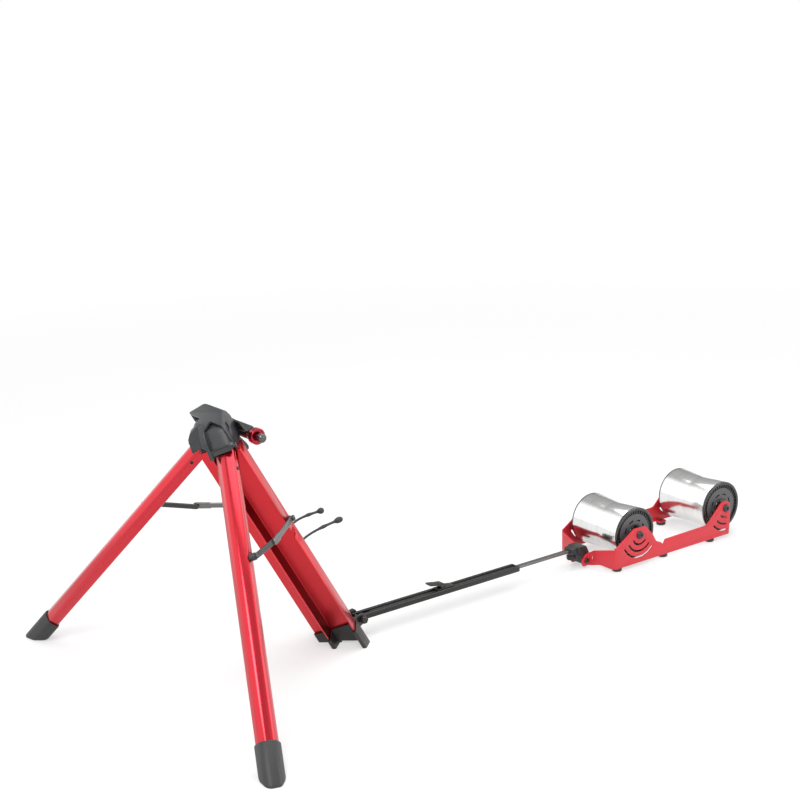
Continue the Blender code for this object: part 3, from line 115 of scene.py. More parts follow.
def grain_group():
    """Fine noise drawn out along a direction, as a die or a brush leaves it, and a broad plain noise."""
    tree, given, result = shader_group(
        "grain",
        [
            ("Along", "NodeSocketVector", (0.0, 0.0, 0.0)),
            ("Draw", "NodeSocketFloat", 0.99),
            ("Pitch", "NodeSocketFloat", 900.0),
            ("Patch", "NodeSocketFloat", 14.0),
        ],
        [("Fine", "NodeSocketFloat"), ("Broad", "NodeSocketFloat")],
    )
    place = tree.nodes.new("ShaderNodeTexCoord")
    along = tree.nodes.new("ShaderNodeVectorMath")
    along.operation = "DOT_PRODUCT"
    tree.links.new(place.outputs["Object"], along.inputs[0])
    tree.links.new(given.outputs["Along"], along.inputs[1])
    reach = maths(tree, "MULTIPLY", along.outputs["Value"], given.outputs["Draw"])
    taken = tree.nodes.new("ShaderNodeVectorMath")
    taken.operation = "SCALE"
    tree.links.new(given.outputs["Along"], taken.inputs[0])
    tree.links.new(reach, taken.inputs["Scale"])
    left = tree.nodes.new("ShaderNodeVectorMath")
    left.operation = "SUBTRACT"
    tree.links.new(place.outputs["Object"], left.inputs[0])
    tree.links.new(taken.outputs[0], left.inputs[1])
    fine = noise(tree, left.outputs[0], given.outputs["Pitch"], 2.0)
    broad = noise(tree, place.outputs["Object"], given.outputs["Patch"], 4.0)
    tree.links.new(fine, result.inputs["Fine"])
    tree.links.new(broad, result.inputs["Broad"])
    return tree


EDGE_RUB = edge_rub_group()
GRAIN = grain_group()
# Colour sockets of a Mix node, which shares their labels with its other kinds.
MIX_A, MIX_B, MIX_RESULT = 6, 7, 2
# Share of the fine grain beside the broad one, and the mean of the two together.
FINE_SHARE = 0.6
MEAN_GRAIN = 0.8


def finish(
    name,
    colour,
    worn,
    roughness,
    metallic=0.0,
    coat=0.0,
    coat_roughness=0.2,
    along=(0.0, 0.0, 0.0),
    pitch=900.0,
    patch=14.0,
    depth=0.00002,
    shade=0.12,
    rub=5.0,
    rub_width=0.0007,
    uneven=0.12,
):
    """A material: its own colour with broad and fine variation, rubbed edges and a fine relief."""
    material = bpy.data.materials.new(name)
    material.use_nodes = True
    tree = material.node_tree
    shader = tree.nodes["Principled BSDF"]
    shader.inputs["Metallic"].default_value = metallic
    shader.inputs["Coat Weight"].default_value = coat
    shader.inputs["Coat Roughness"].default_value = coat_roughness
    grain = tree.nodes.new("ShaderNodeGroup")
    grain.node_tree = GRAIN
    grain.inputs["Along"].default_value = along
    grain.inputs["Pitch"].default_value = pitch
    grain.inputs["Patch"].default_value = patch
    edge = tree.nodes.new("ShaderNodeGroup")
    edge.node_tree = EDGE_RUB
    edge.inputs["Strength"].default_value = rub
    edge.inputs["Width"].default_value = rub_width
    # Broad patches and fine grain make the colour lighter and darker about its mean.
    fine = maths(tree, "MULTIPLY", grain.outputs["Fine"], FINE_SHARE)
    both = maths(tree, "ADD", grain.outputs["Broad"], fine)
    lift = maths(tree, "MULTIPLY_ADD", both, shade * 2, 1.0 - shade * (2 * MEAN_GRAIN))
    tone = tree.nodes.new("ShaderNodeMix")
    tone.data_type = "RGBA"
    tone.blend_type = "MULTIPLY"
    tone.inputs["Factor"].default_value = 1.0
    tone.inputs[MIX_A].default_value = (*colour, 1.0)
    tree.links.new(lift, tone.inputs[MIX_B])
    rubbed = tree.nodes.new("ShaderNodeMix")
    rubbed.data_type = "RGBA"
    rubbed.inputs[MIX_B].default_value = (*worn, 1.0)
    tree.links.new(edge.outputs["Edge"], rubbed.inputs["Factor"])
    tree.links.new(tone.outputs[MIX_RESULT], rubbed.inputs[MIX_A])
    tree.links.new(rubbed.outputs[MIX_RESULT], shader.inputs["Base Color"])
    dull = maths(tree, "MULTIPLY_ADD", both, uneven, roughness - uneven * MEAN_GRAIN, clamp=True)
    tree.links.new(dull, shader.inputs["Roughness"])
    relief = tree.nodes.new("ShaderNodeBump")
    relief.inputs["Distance"].default_value = depth
    relief.inputs["Strength"].default_value = 1.0
    tree.links.new(grain.outputs["Fine"], relief.inputs["Height"])
    tree.links.new(relief.outputs[0], shader.inputs["Normal"])
    return material


def placed(name, mesh):
    """A new object of the scene that shows a mesh."""
    piece = bpy.data.objects.new(name, mesh)
    bpy.context.scene.collection.objects.link(piece)
    return piece


def settled(thing, crease):
    """Turn an object with live modifiers into a plain mesh, smooth up to the crease angle."""
    bpy.context.view_layer.update()
    seen = thing.evaluated_get(bpy.context.evaluated_depsgraph_get())
    mesh = bpy.data.meshes.new_from_object(seen)
    thing.modifiers.clear()
    thing.data = mesh
    mesh.shade_smooth()
    mesh.set_sharp_from_angle(angle=radians(crease))
    return thing


def home_of(node):
    """Body that carries a node."""
    return next(body for body, members in bodies.items() if node in members)


# Corners closer than WELD become one, and so do faces that turn less than FLAT_TURN. Rubber that is
# rounded off shrinks in the rounding, and SWELL gives it back.
WELD = 0.000005
FLAT_TURN = radians(0.6)
SWELL = 0.00035


def dressed(node, material, edge=0.0004, crease=32.0, rounds=0):
    """The part's own shape as clean faces with rounded edges, in place of its solid."""
    skin = bmesh.new()
    skin.from_mesh(frame["nodes"][node].data)
    bmesh.ops.remove_doubles(skin, verts=skin.verts, dist=WELD)
    bmesh.ops.dissolve_limit(skin, angle_limit=FLAT_TURN, verts=skin.verts, edges=skin.edges)
    mesh = bpy.data.meshes.new(f"{node}_skin")
    skin.to_mesh(mesh)
    skin.free()
    mesh.materials.clear()
    mesh.materials.append(material)
    piece = placed(f"{node}_skin", mesh)
    if edge:
        corner = piece.modifiers.new("corner", "BEVEL")
        corner.width = edge
        corner.segments = 2
        corner.limit_method = "ANGLE"
        corner.angle_limit = radians(crease)
    if rounds:
        smooth = piece.modifiers.new("smooth", "SUBSURF")
        smooth.levels = rounds
        smooth.render_levels = rounds
        swell = piece.modifiers.new("swell", "DISPLACE")
        swell.strength = SWELL
        swell.mid_level = 0.0
    settled(piece, crease)
    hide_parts(node)
    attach(piece, home_of(node))
    return piece


def linear(colour):
    """Linear colour from the usual 0 to 255 values."""
    return tuple((c / 255 / 12.92) if c <= 10 else ((c / 255 + 0.055) / 1.055) ** 2.4 for c in colour)


LEAN = radians(30)
rear_leg_run = (-sin(LEAN), 0.0, cos(LEAN))
dyed_rear = finish(
    "dyed_rear", linear((204, 30, 42)), linear((240, 150, 150)), 0.30, metallic=0.88, coat=0.40,
    along=rear_leg_run, pitch=1600.0, depth=0.00001, shade=0.06, rub=3.0, uneven=0.10,
)
# The channel faces of the two front fins get a darker red that is painted shade, standing in for the shade the
# webs cast there.
painted_shade_red = finish(
    "painted_shade_red", linear((112, 8, 18)), linear((190, 90, 94)), 0.36, metallic=0.80, coat=0.12,
    along=rear_leg_run, pitch=1600.0, depth=0.00001, shade=0.06, rub=2.0, uneven=0.10,
)
rear_leg = dressed("rear_leg", dyed_rear, 0.0005)
rear_leg.data.materials.append(painted_shade_red)
# Where the webs' crossing line meets the floor, and how far in front of it a face has to lie to take the painted
# shade.
LEG_FOOT_X = -0.2817
FIN_START = 0.002
# The fins stand at 45 degrees, so their faces look equally back and to the side.
FIN_TURN = 0.5 ** 0.5
TURN_SLACK = 0.05
# Faces in the front fins' channels take the second material, the painted shade.
for face in rear_leg.data.polygons:
    behind = cos(LEAN) * (face.center.x - LEG_FOOT_X) + sin(LEAN) * face.center.z
    back = cos(LEAN) * face.normal.x + sin(LEAN) * face.normal.z
    aside = abs(face.normal.y)
    if behind < -FIN_START and abs(back - FIN_TURN) < TURN_SLACK and abs(aside - FIN_TURN) < TURN_SLACK:
        face.material_index = 1


# Front legs.
# Half-round red tubes with a moulded plug in the top end and a rubber boot on the floor.

for side in ("left", "right"):
    fold = next(joint for joint in frame["joints"] if joint["name"] == f"leg_fold_{side}")
    pivot = Vector(fold["pos_m"])
    boot_low, boot_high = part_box(f"leg_boot_{side}")
    leg_run = (pivot - (boot_low + boot_high) / 2).normalized()
    dyed_front = finish(
        f"dyed_front_{side}", linear((198, 20, 40)), linear((246, 150, 156)), 0.24, metallic=0.90, coat=0.70,
        coat_roughness=0.20, along=leg_run, pitch=1500.0, depth=0.00001, shade=0.05, rub=3.0, uneven=0.08,
    )
    dressed(f"front_leg_{side}", dyed_front, 0.0004)

screw_black = finish(
    "screw_black", linear((30, 30, 32)), linear((120, 118, 116)), 0.30, metallic=0.4,
    pitch=900.0, depth=0.00001, shade=0.10, rub=2.0, uneven=0.10,
)


def closed_mesh(name, form):
    """Mesh of a closed bmesh form, its faces turned outwards."""
    bmesh.ops.recalc_face_normals(form, faces=form.faces)
    mesh = bpy.data.meshes.new(name)
    form.to_mesh(mesh)
    form.free()
    return mesh


def socket_screw(radius, height, socket, deep):
    """Domed screw head with a six-sided socket, standing up from the ground along Z."""
    turns = 24
    rows = []
    form = bmesh.new()
    for kind, r, h in (
        ("hex", socket, height - deep), ("hex", socket, height), ("round", radius * 0.72, height),
        ("round", radius * 0.92, height * 0.80), ("round", radius, height * 0.30), ("round", radius, 0.0),
    ):
        row = []
        for k in range(turns):
            angle = tau * k / turns
            turn = (angle + pi / 6) % (pi / 3) - pi / 6
            reach = r / cos(turn) if kind == "hex" else r
            row.append(form.verts.new((reach * cos(angle), reach * sin(angle), h)))
        rows.append(row)
    for here, after in zip(rows, rows[1:]):
        for k in range(turns):
            form.faces.new((here[k], here[(k + 1) % turns], after[(k + 1) % turns], after[k]))
    form.faces.new(rows[0])
    form.faces.new(rows[-1])
    return placed("screw_head", closed_mesh("screw_head", form))


def screw_tree():
    """One screw head on each point, stood along the facing that the point carries."""
    tree = bpy.data.node_groups.new("screw_set", "GeometryNodeTree")
    tree.interface.new_socket("Points", in_out="INPUT", socket_type="NodeSocketGeometry")
    for label, kind in (
        ("Head", "NodeSocketObject"), ("Size", "NodeSocketFloat"), ("Finish", "NodeSocketMaterial"),
    ):
        tree.interface.new_socket(label, in_out="INPUT", socket_type=kind)
    tree.interface.new_socket("Geometry", in_out="OUTPUT", socket_type="NodeSocketGeometry")
    given = tree.nodes.new("NodeGroupInput")
    result = tree.nodes.new("NodeGroupOutput")
    facing = tree.nodes.new("GeometryNodeInputNamedAttribute")
    facing.data_type = "FLOAT_VECTOR"
    facing.inputs["Name"].default_value = "facing"
    turn = tree.nodes.new("FunctionNodeAlignRotationToVector")
    turn.axis = "Z"
    tree.links.new(facing.outputs["Attribute"], turn.inputs["Vector"])
    head = tree.nodes.new("GeometryNodeObjectInfo")
    tree.links.new(given.outputs["Head"], head.inputs["Object"])
    spread = tree.nodes.new("GeometryNodeInstanceOnPoints")
    tree.links.new(given.outputs["Points"], spread.inputs["Points"])
    tree.links.new(head.outputs["Geometry"], spread.inputs["Instance"])
    tree.links.new(turn.outputs[0], spread.inputs["Rotation"])
    tree.links.new(given.outputs["Size"], spread.inputs["Scale"])
    solid = tree.nodes.new("GeometryNodeRealizeInstances")
    tree.links.new(spread.outputs[0], solid.inputs[0])
    paint = tree.nodes.new("GeometryNodeSetMaterial")
    tree.links.new(solid.outputs[0], paint.inputs["Geometry"])
    tree.links.new(given.outputs["Finish"], paint.inputs["Material"])
    tree.links.new(paint.outputs[0], result.inputs[0])
    return tree


def set_inputs(nodes, values):
    """Set a node modifier's inputs, given by label, through their sockets' identifiers."""
    for item in nodes.node_group.interface.items_tree:
        if item.item_type == "SOCKET" and item.in_out == "INPUT" and item.name in values:
            nodes[item.identifier] = values[item.name]


screw_set = screw_tree()
screw_head = socket_screw(radius=0.0032, height=0.0013, socket=0.0014, deep=0.0009)


def screwed(name, spots, size, body, material):
    """Screw heads at (place, facing) spots, as one plain mesh that rides on a body."""
    mesh = bpy.data.meshes.new(name)
    mesh.from_pydata([place for place, facing in spots], [], [])
    mesh.attributes.new("facing", "FLOAT_VECTOR", "POINT").data.foreach_set(
        "vector", [value for place, facing in spots for value in facing]
    )
    piece = placed(name, mesh)
    nodes = piece.modifiers.new("screws", "NODES")
    nodes.node_group = screw_set
    set_inputs(nodes, {"Head": screw_head, "Size": size, "Finish": material})
    settled(piece, 30.0)
    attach(piece, body)


# One screw through each front leg holds its plug; its heads lie on the two flat flanks.
PLUG_SCREW_OUT = Vector((-0.52428, 0.06923, 0.40303))
PLUG_SCREW_IN = Vector((-0.54571, 0.04448, 0.39066))
flank = (PLUG_SCREW_OUT - PLUG_SCREW_IN).normalized()
for side, flip in (("right", 1), ("left", -1)):
    spots = [
        ((place.x, flip * place.y, place.z), (sense * flank.x, sense * flip * flank.y, sense * flank.z))
        for place, sense in ((PLUG_SCREW_OUT, 1), (PLUG_SCREW_IN, -1))
    ]
    screwed(f"plug_screw_{side}", spots, 1.0, home_of(f"front_leg_{side}"), screw_black)
bpy.data.objects.remove(screw_head)

rubber = finish(
    "boot_rubber", linear((44, 44, 45)), linear((96, 94, 91)), 0.50,
    pitch=520.0, depth=0.00006, shade=0.16, rub=1.2, uneven=0.2,
)
for side in ("left", "right"):
    dressed(f"leg_boot_{side}", rubber, 0.0022, 34.0)


# Crown.
# A black glass-filled moulding that holds the leg pivots, with steel pins through its cheeks.

crown_plastic = finish(
    "crown_plastic", linear((50, 51, 53)), linear((108, 108, 109)), 0.37,
    pitch=900.0, depth=0.00005, shade=0.12, rub=1.6, uneven=0.14,
)
dark_steel = finish(
    "dark_steel", linear((96, 96, 97)), linear((190, 190, 188)), 0.30, metallic=0.9,
    pitch=700.0, depth=0.00001, shade=0.08, rub=1.5, uneven=0.1,
)
dressed("head_crown", crown_plastic, 0.0005, 30.0)
for side in ("left", "right"):
    dressed(f"leg_plug_{side}", crown_plastic, 0.0004)
    dressed(f"leg_pivot_pin_{side}", dark_steel, 0.0003)


# Fork carrier.
# A bent black plate with a welded tube, red turned caps over its ends, and a quick-release skewer.

black_coat = finish(
    "black_coat", linear((34, 34, 36)), linear((96, 94, 92)), 0.36, coat=0.25,
    pitch=800.0, depth=0.00004, shade=0.12, rub=2.0, uneven=0.14,
)
cap_red = finish(
    "cap_red", linear((164, 8, 36)), linear((232, 110, 124)), 0.20, metallic=0.90, coat=0.6,
    coat_roughness=0.1, pitch=1200.0, depth=0.00001, shade=0.08, rub=2.0,
)
for node in ("axle_carrier", "axle_tube"):
    dressed(node, black_coat, 0.0004)
for side in ("left", "right"):
    dressed(f"axle_cap_{side}", cap_red, 0.0004)
    dressed(f"carrier_screw_{side}", dark_steel, 0.0002)
dressed("skewer", dark_steel, 0.0003)
dressed("skewer_lever", black_coat, 0.0006)


# Folding struts.
# Two flat grey bars on each side, one pinned to the rear leg and one to the front leg.

grey_metal = finish(
    "grey_metal", linear((112, 112, 110)), linear((196, 196, 192)), 0.36, metallic=0.75,
    pitch=900.0, depth=0.00002, shade=0.10, rub=3.0, uneven=0.14,
)
dark_metal = finish(
    "dark_metal", linear((58, 58, 58)), linear((150, 150, 148)), 0.40, metallic=0.45,
    pitch=900.0, depth=0.00002, shade=0.10, rub=2.4, uneven=0.14,
)
for side in ("left", "right"):
    dressed(f"strut_anchor_{side}", black_coat, 0.0003)
    dressed(f"strut_knuckle_{side}", crown_plastic, 0.0003)
    dressed(f"strut_upper_{side}", dark_metal, 0.0003)
    dressed(f"strut_lower_{side}", grey_metal, 0.0003)


# Hold-down pulls.
# Two stretchy rubber pulls with a ball on the end, moulded in black.

for pull in ("upper", "lower"):
    dressed(f"hold_down_pull_{pull}", rubber, 0.0, 75.0, 2)


# Rear foot.
# A black moulded shoe over the end of the rear leg, with ribbed walls and two toes.

foot_plastic = finish(
    "foot_plastic", linear((32, 30, 29)), linear((92, 88, 84)), 0.42,
    pitch=700.0, depth=0.00005, shade=0.14, rub=1.8, uneven=0.16,
)
dressed("rear_foot", foot_plastic, 0.0006)


# Beam.
# A slotted black extrusion hinged behind the foot, with a flat bar that slides in it and a cam lever.

beam_black = finish(
    "beam_black", linear((20, 19, 18)), linear((128, 125, 120)), 0.26, metallic=0.10,
    along=(1.0, 0.0, 0.0), pitch=1500.0, depth=0.00001, shade=0.08, rub=4.0, uneven=0.1,
)
dressed("beam_hinge_bracket", black_coat, 0.0004)
dressed("beam_hinge_pin", dark_steel, 0.0003)
dressed("beam_hinge_knob", foot_plastic, 0.0005)
dressed("beam_rail", beam_black, 0.0004)
for node in ("rail_guide", "lever_saddle", "beam_lever"):
    dressed(node, foot_plastic, 0.0004)
dressed("lever_stud", dark_steel, 0.0002)
dressed("slide_bar", grey_metal, 0.0003)
dressed("bar_end_clamp", foot_plastic, 0.0004)
dressed("clamp_knob", foot_plastic, 0.0005)


# Roller frame.
# Two laser-cut steel sides, folded and powder coated red, on six rubber pads.

powder_red = finish(
    "powder_red", linear((200, 32, 46)), linear((232, 110, 114)), 0.42, coat=0.15, coat_roughness=0.30,
    pitch=1000.0, depth=0.00003, shade=0.06, rub=1.6, uneven=0.12,
)
for side in ("left", "right"):
    dressed(f"side_plate_{side}", powder_red, 0.0004)
    for place in ("front", "middle", "rear"):
        dressed(f"roller_pad_{place}_{side}", rubber, 0.0005)
for node in ("clevis_bolt", "drum_axle_front", "drum_axle_rear"):
    dressed(node, black_coat, 0.0004)


# Drums.
# Spun aluminium shells turned to a bright finish, slightly waisted, with glossy black moulded end caps.

# Half of a drum's width over its two caps.
DRUM_HALF = 0.0655


def turned_metal():
    """Bright aluminium with the fine rings that a lathe tool leaves round the axle."""
    material = bpy.data.materials.new("bright_drum")
    material.use_nodes = True
    tree = material.node_tree
    shader = tree.nodes["Principled BSDF"]
    shader.inputs["Metallic"].default_value = 1.0
    place = tree.nodes.new("ShaderNodeTexCoord")
    split = tree.nodes.new("ShaderNodeSeparateXYZ")
    tree.links.new(place.outputs["Object"], split.inputs[0])
    rings = []
    for pitch in (90.0, 900.0):
        ring = tree.nodes.new("ShaderNodeTexNoise")
        ring.noise_dimensions = "1D"
        ring.inputs["Detail"].default_value = 2.0
        ring.inputs["Scale"].default_value = pitch
        tree.links.new(split.outputs["Y"], ring.inputs["W"])
        rings.append(ring.outputs[0])
    broad, fine = rings
    patches = noise(tree, place.outputs["Object"], 16.0, 4.0)
    tone = tree.nodes.new("ShaderNodeValToRGB")
    tone.color_ramp.elements[0].position = 0.28
    tone.color_ramp.elements[0].color = (*linear((206, 209, 214)), 1)
    tone.color_ramp.elements[1].position = 0.66
    tone.color_ramp.elements[1].color = (*linear((246, 244, 239)), 1)
    streaks = maths(tree, "ADD", maths(tree, "MULTIPLY", broad, 0.30), maths(tree, "MULTIPLY", fine, 0.45))
    tree.links.new(maths(tree, "MULTIPLY_ADD", patches, 0.22, streaks), tone.inputs["Fac"])
    tree.links.new(tone.outputs["Color"], shader.inputs["Base Color"])
    tree.links.new(maths(tree, "MULTIPLY_ADD", fine, 0.16, 0.10), shader.inputs["Roughness"])
    relief = tree.nodes.new("ShaderNodeBump")
    relief.inputs["Distance"].default_value = 0.000003
    tree.links.new(fine, relief.inputs["Height"])
    tree.links.new(relief.outputs[0], shader.inputs["Normal"])
    return material


bright_drum = turned_metal()
gloss_black = finish(
    "gloss_black", linear((30, 30, 32)), linear((92, 92, 92)), 0.20, coat=0.6, coat_roughness=0.07,
    pitch=600.0, depth=0.00002, shade=0.12, rub=1.6, uneven=0.1,
)
satin_disc = finish(
    "satin_disc", linear((84, 84, 85)), linear((120, 120, 120)), 0.42,
    pitch=800.0, depth=0.00002, shade=0.10, rub=1.2, uneven=0.12,
)


def spun(name, profile, centre, outward, material, turns=96):
    """Closed ring of a profile (radius, height) turned about the drum's axle, facing out to one side."""
    form = bmesh.new()
    rows = []
    for k in range(turns):
        angle = tau * k / turns
        rows.append([
            form.verts.new((centre.x + r * cos(angle), centre.y + outward * h, centre.z + r * sin(angle)))
            for r, h in profile
        ])
    for k in range(turns):
        here, after = rows[k], rows[(k + 1) % turns]
        for j in range(len(profile)):
            nxt = (j + 1) % len(profile)
            form.faces.new((here[j], here[nxt], after[nxt], after[j]))
    mesh = closed_mesh(name, form)
    mesh.materials.append(material)
    return placed(name, mesh)


def arc_cutters(centre, outward, spans, radius, width, low, high):
    """Bent bars that cut arc slots in a disc."""
    form = bmesh.new()
    for start, end in spans:
        rims = []
        for k in range(7):
            angle = radians(start + (end - start) * k / 6)
            rims.append([
                form.verts.new((centre.x + r * cos(angle), centre.y + outward * h, centre.z + r * sin(angle)))
                for r, h in (
                    (radius - width / 2, low), (radius + width / 2, low),
                    (radius + width / 2, high), (radius - width / 2, high),
                )
            ])
        for here, after in zip(rims, rims[1:]):
            for j in range(4):
                form.faces.new((here[j], here[(j + 1) % 4], after[(j + 1) % 4], after[j]))
        form.faces.new(rims[0])
        form.faces.new(rims[-1])
    return placed("arc_cutters", closed_mesh("arc_cutters", form))


def rib_ring_tree():
    """Ribs set like spokes round the axle, on both faces of a drum."""
    tree = bpy.data.node_groups.new("rib_ring", "GeometryNodeTree")
    for label, kind, value in (
        ("Count", "NodeSocketInt", 48),
        ("Radius", "NodeSocketFloat", 0.0435),
        ("Size", "NodeSocketVector", (0.005, 0.001, 0.001)),
        ("Centre", "NodeSocketVector", (0.0, 0.0, 0.0)),
        ("Half width", "NodeSocketFloat", 0.06),
        ("Finish", "NodeSocketMaterial", None),
    ):
        socket = tree.interface.new_socket(label, in_out="INPUT", socket_type=kind)
        if value is not None:
            socket.default_value = value
    tree.interface.new_socket("Geometry", in_out="OUTPUT", socket_type="NodeSocketGeometry")
    given = tree.nodes.new("NodeGroupInput")
    result = tree.nodes.new("NodeGroupOutput")
    circle = tree.nodes.new("GeometryNodeMeshCircle")
    tree.links.new(given.outputs["Count"], circle.inputs["Vertices"])
    tree.links.new(given.outputs["Radius"], circle.inputs["Radius"])
    rib = tree.nodes.new("GeometryNodeMeshCube")
    tree.links.new(given.outputs["Size"], rib.inputs["Size"])
    spot = tree.nodes.new("GeometryNodeInputPosition")
    turn = tree.nodes.new("FunctionNodeAlignRotationToVector")
    turn.axis = "X"
    tree.links.new(spot.outputs[0], turn.inputs["Vector"])
    spread = tree.nodes.new("GeometryNodeInstanceOnPoints")
    tree.links.new(circle.outputs[0], spread.inputs["Points"])
    tree.links.new(rib.outputs["Mesh"], spread.inputs["Instance"])
    tree.links.new(turn.outputs[0], spread.inputs["Rotation"])
    both = tree.nodes.new("GeometryNodeJoinGeometry")
    for sign in (1.0, -1.0):
        out = tree.nodes.new("ShaderNodeCombineXYZ")
        tree.links.new(maths(tree, "MULTIPLY", given.outputs["Half width"], sign), out.inputs["Y"])
        where = tree.nodes.new("ShaderNodeVectorMath")
        where.operation = "ADD"
        tree.links.new(given.outputs["Centre"], where.inputs[0])
        tree.links.new(out.outputs[0], where.inputs[1])
        stand = tree.nodes.new("GeometryNodeTransform")
        stand.inputs["Rotation"].default_value = (pi / 2, 0.0, 0.0)
        tree.links.new(spread.outputs[0], stand.inputs["Geometry"])
        tree.links.new(where.outputs[0], stand.inputs["Translation"])
        tree.links.new(stand.outputs[0], both.inputs[0])
    solid = tree.nodes.new("GeometryNodeRealizeInstances")
    tree.links.new(both.outputs[0], solid.inputs[0])
    paint = tree.nodes.new("GeometryNodeSetMaterial")
    tree.links.new(solid.outputs[0], paint.inputs["Geometry"])
    tree.links.new(given.outputs["Finish"], paint.inputs["Material"])
    tree.links.new(paint.outputs[0], result.inputs[0])
    return tree


def grown(name, tree, values):
    """A plain mesh piece made by a node tree with its inputs set by label."""
    piece = placed(name, bpy.data.meshes.new(name))
    nodes = piece.modifiers.new("grow", "NODES")
    nodes.node_group = tree
    set_inputs(nodes, values)
    return settled(piece, 30.0)


def cap_profile(bore):
    """Section of an end cap: spigot, rim bead, dark groove, raised satin disc and hub."""
    spigot, rim = 0.0485, 0.0525
    inner_end = DRUM_HALF - 0.0085
    seat = DRUM_HALF - 0.0030
    groove = DRUM_HALF - 0.0042
    ledge = DRUM_HALF - 0.0020
    hub_face = DRUM_HALF - 0.0008
    return [
        (bore, inner_end), (spigot, inner_end), (spigot, seat), (rim, seat),
        (rim, DRUM_HALF - 0.0010), (0.0519, DRUM_HALF - 0.0003), (0.0508, DRUM_HALF),
        (0.0478, DRUM_HALF), (0.0469, DRUM_HALF - 0.0004), (0.0464, DRUM_HALF - 0.0012),
        (0.0460, groove), (0.0398, groove), (0.0394, DRUM_HALF - 0.0026),
        (0.0388, ledge), (0.0180, DRUM_HALF - 0.0012), (0.0172, ledge),
        (0.0156, ledge), (0.0150, hub_face), (bore, hub_face),
    ]


CAP_BORE = 0.0058
# The satin disc lies between these radii, above this height.
DISC_INNER, DISC_OUTER = 0.0170, 0.0392
DISC_LOW = DRUM_HALF - 0.0030
# Eight short arc slots in the disc, in pairs a quarter turn apart, in degrees.
SLOT_SPANS = [(90 * k + start, 90 * k + end) for k in range(4) for start, end in ((56, 82), (98, 124))]
SLOT_RADIUS, SLOT_WIDTH = 0.0262, 0.0030
SLOT_LOW, SLOT_HIGH = DRUM_HALF - 0.0046, DRUM_HALF + 0.004

rib_ring = rib_ring_tree()
for place in ("front", "rear"):
    dressed(f"drum_shell_{place}", bright_drum, 0.0004)
    axle_low, axle_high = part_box(f"drum_axle_{place}")
    centre = (axle_low + axle_high) / 2
    hub = Vector((centre.x, 0.0, centre.z))
    for side in ("right", "left"):
        node = f"drum_cap_{place}_{side}"
        cap_low, cap_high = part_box(node)
        outward = 1 if cap_low.y + cap_high.y > 0 else -1
        cap = spun(f"cap_{place}_{side}", cap_profile(CAP_BORE), hub, outward, gloss_black)
        cap.data.materials.append(satin_disc)
        for face in cap.data.polygons:
            reach = (Vector((face.center.x, 0, face.center.z)) - hub).length
            if DISC_INNER < reach < DISC_OUTER and abs(face.center.y) > DISC_LOW:
                face.material_index = 1
        slots = arc_cutters(hub, outward, SLOT_SPANS, SLOT_RADIUS, SLOT_WIDTH, SLOT_LOW, SLOT_HIGH)
        cutting = cap.modifiers.new("slots", "BOOLEAN")
        cutting.operation = "DIFFERENCE"
        cutting.solver = "EXACT"
        cutting.object = slots
        settled(cap, 40.0)
        bpy.data.objects.remove(slots)
        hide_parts(node)
        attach(cap, home_of(node))
    ribs = grown(f"cap_ribs_{place}", rib_ring, {
        "Count": 40,
        "Radius": 0.0429,
        "Size": (0.0061, 0.0012, 0.0020),
        "Centre": hub,
        "Half width": DRUM_HALF - 0.0034,
        "Finish": gloss_black,
    })
    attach(ribs, home_of(f"drum_shell_{place}"))


# Studio.
# A pale floor that stays white to the camera and keeps the shadow, soft lamps and the photograph's camera.

FLOOR_HALF = 40.0
FLOOR_DROP = 0.0005
floor_mesh = bpy.data.meshes.new("floor")
corners = [(x * FLOOR_HALF, y * FLOOR_HALF, -FLOOR_DROP) for x, y in ((-1, -1), (1, -1), (1, 1), (-1, 1))]
floor_mesh.from_pydata(corners, [], [(0, 1, 2, 3)])
floor = placed("floor", floor_mesh)
paper = bpy.data.materials.new("paper")
paper.use_nodes = True
tree = paper.node_tree
tree.nodes.clear()
sheet_place = tree.nodes.new("ShaderNodeTexCoord")
sheet_tone = tree.nodes.new("ShaderNodeValToRGB")
sheet_tone.color_ramp.elements[0].color = (0.90, 0.90, 0.90, 1)
sheet_tone.color_ramp.elements[1].color = (0.94, 0.94, 0.94, 1)
tree.links.new(noise(tree, sheet_place.outputs["Object"], 3.0), sheet_tone.inputs["Fac"])
matt = tree.nodes.new("ShaderNodeBsdfDiffuse")
tree.links.new(sheet_tone.outputs["Color"], matt.inputs["Color"])
glow = tree.nodes.new("ShaderNodeEmission")
glow.inputs["Strength"].default_value = 1.0
rays = tree.nodes.new("ShaderNodeLightPath")
seen = maths(tree, "MAXIMUM", rays.outputs["Is Camera Ray"], rays.outputs["Is Glossy Ray"])
seen = maths(tree, "MAXIMUM", seen, rays.outputs["Is Transmission Ray"])
mix = tree.nodes.new("ShaderNodeMixShader")
# Far from the object the sheet is plain white; near it, half of its tone is the lit paper with its shadow.
SHARE_AT_CENTRE = 0.34
SHARE_PER_METRE = 0.22
LEAST_SHARE = 0.5
reach = tree.nodes.new("ShaderNodeVectorMath")
reach.operation = "LENGTH"
tree.links.new(sheet_place.outputs["Object"], reach.inputs[0])
share = maths(tree, "MULTIPLY_ADD", reach.outputs["Value"], SHARE_PER_METRE, SHARE_AT_CENTRE)
share = maths(tree, "MINIMUM", maths(tree, "MAXIMUM", share, LEAST_SHARE), 1.0)
tree.links.new(maths(tree, "MULTIPLY", seen, share), mix.inputs["Fac"])
tree.links.new(matt.outputs[0], mix.inputs[1])
tree.links.new(glow.outputs[0], mix.inputs[2])
sheet_out = tree.nodes.new("ShaderNodeOutputMaterial")
tree.links.new(mix.outputs[0], sheet_out.inputs["Surface"])
floor_mesh.materials.append(paper)

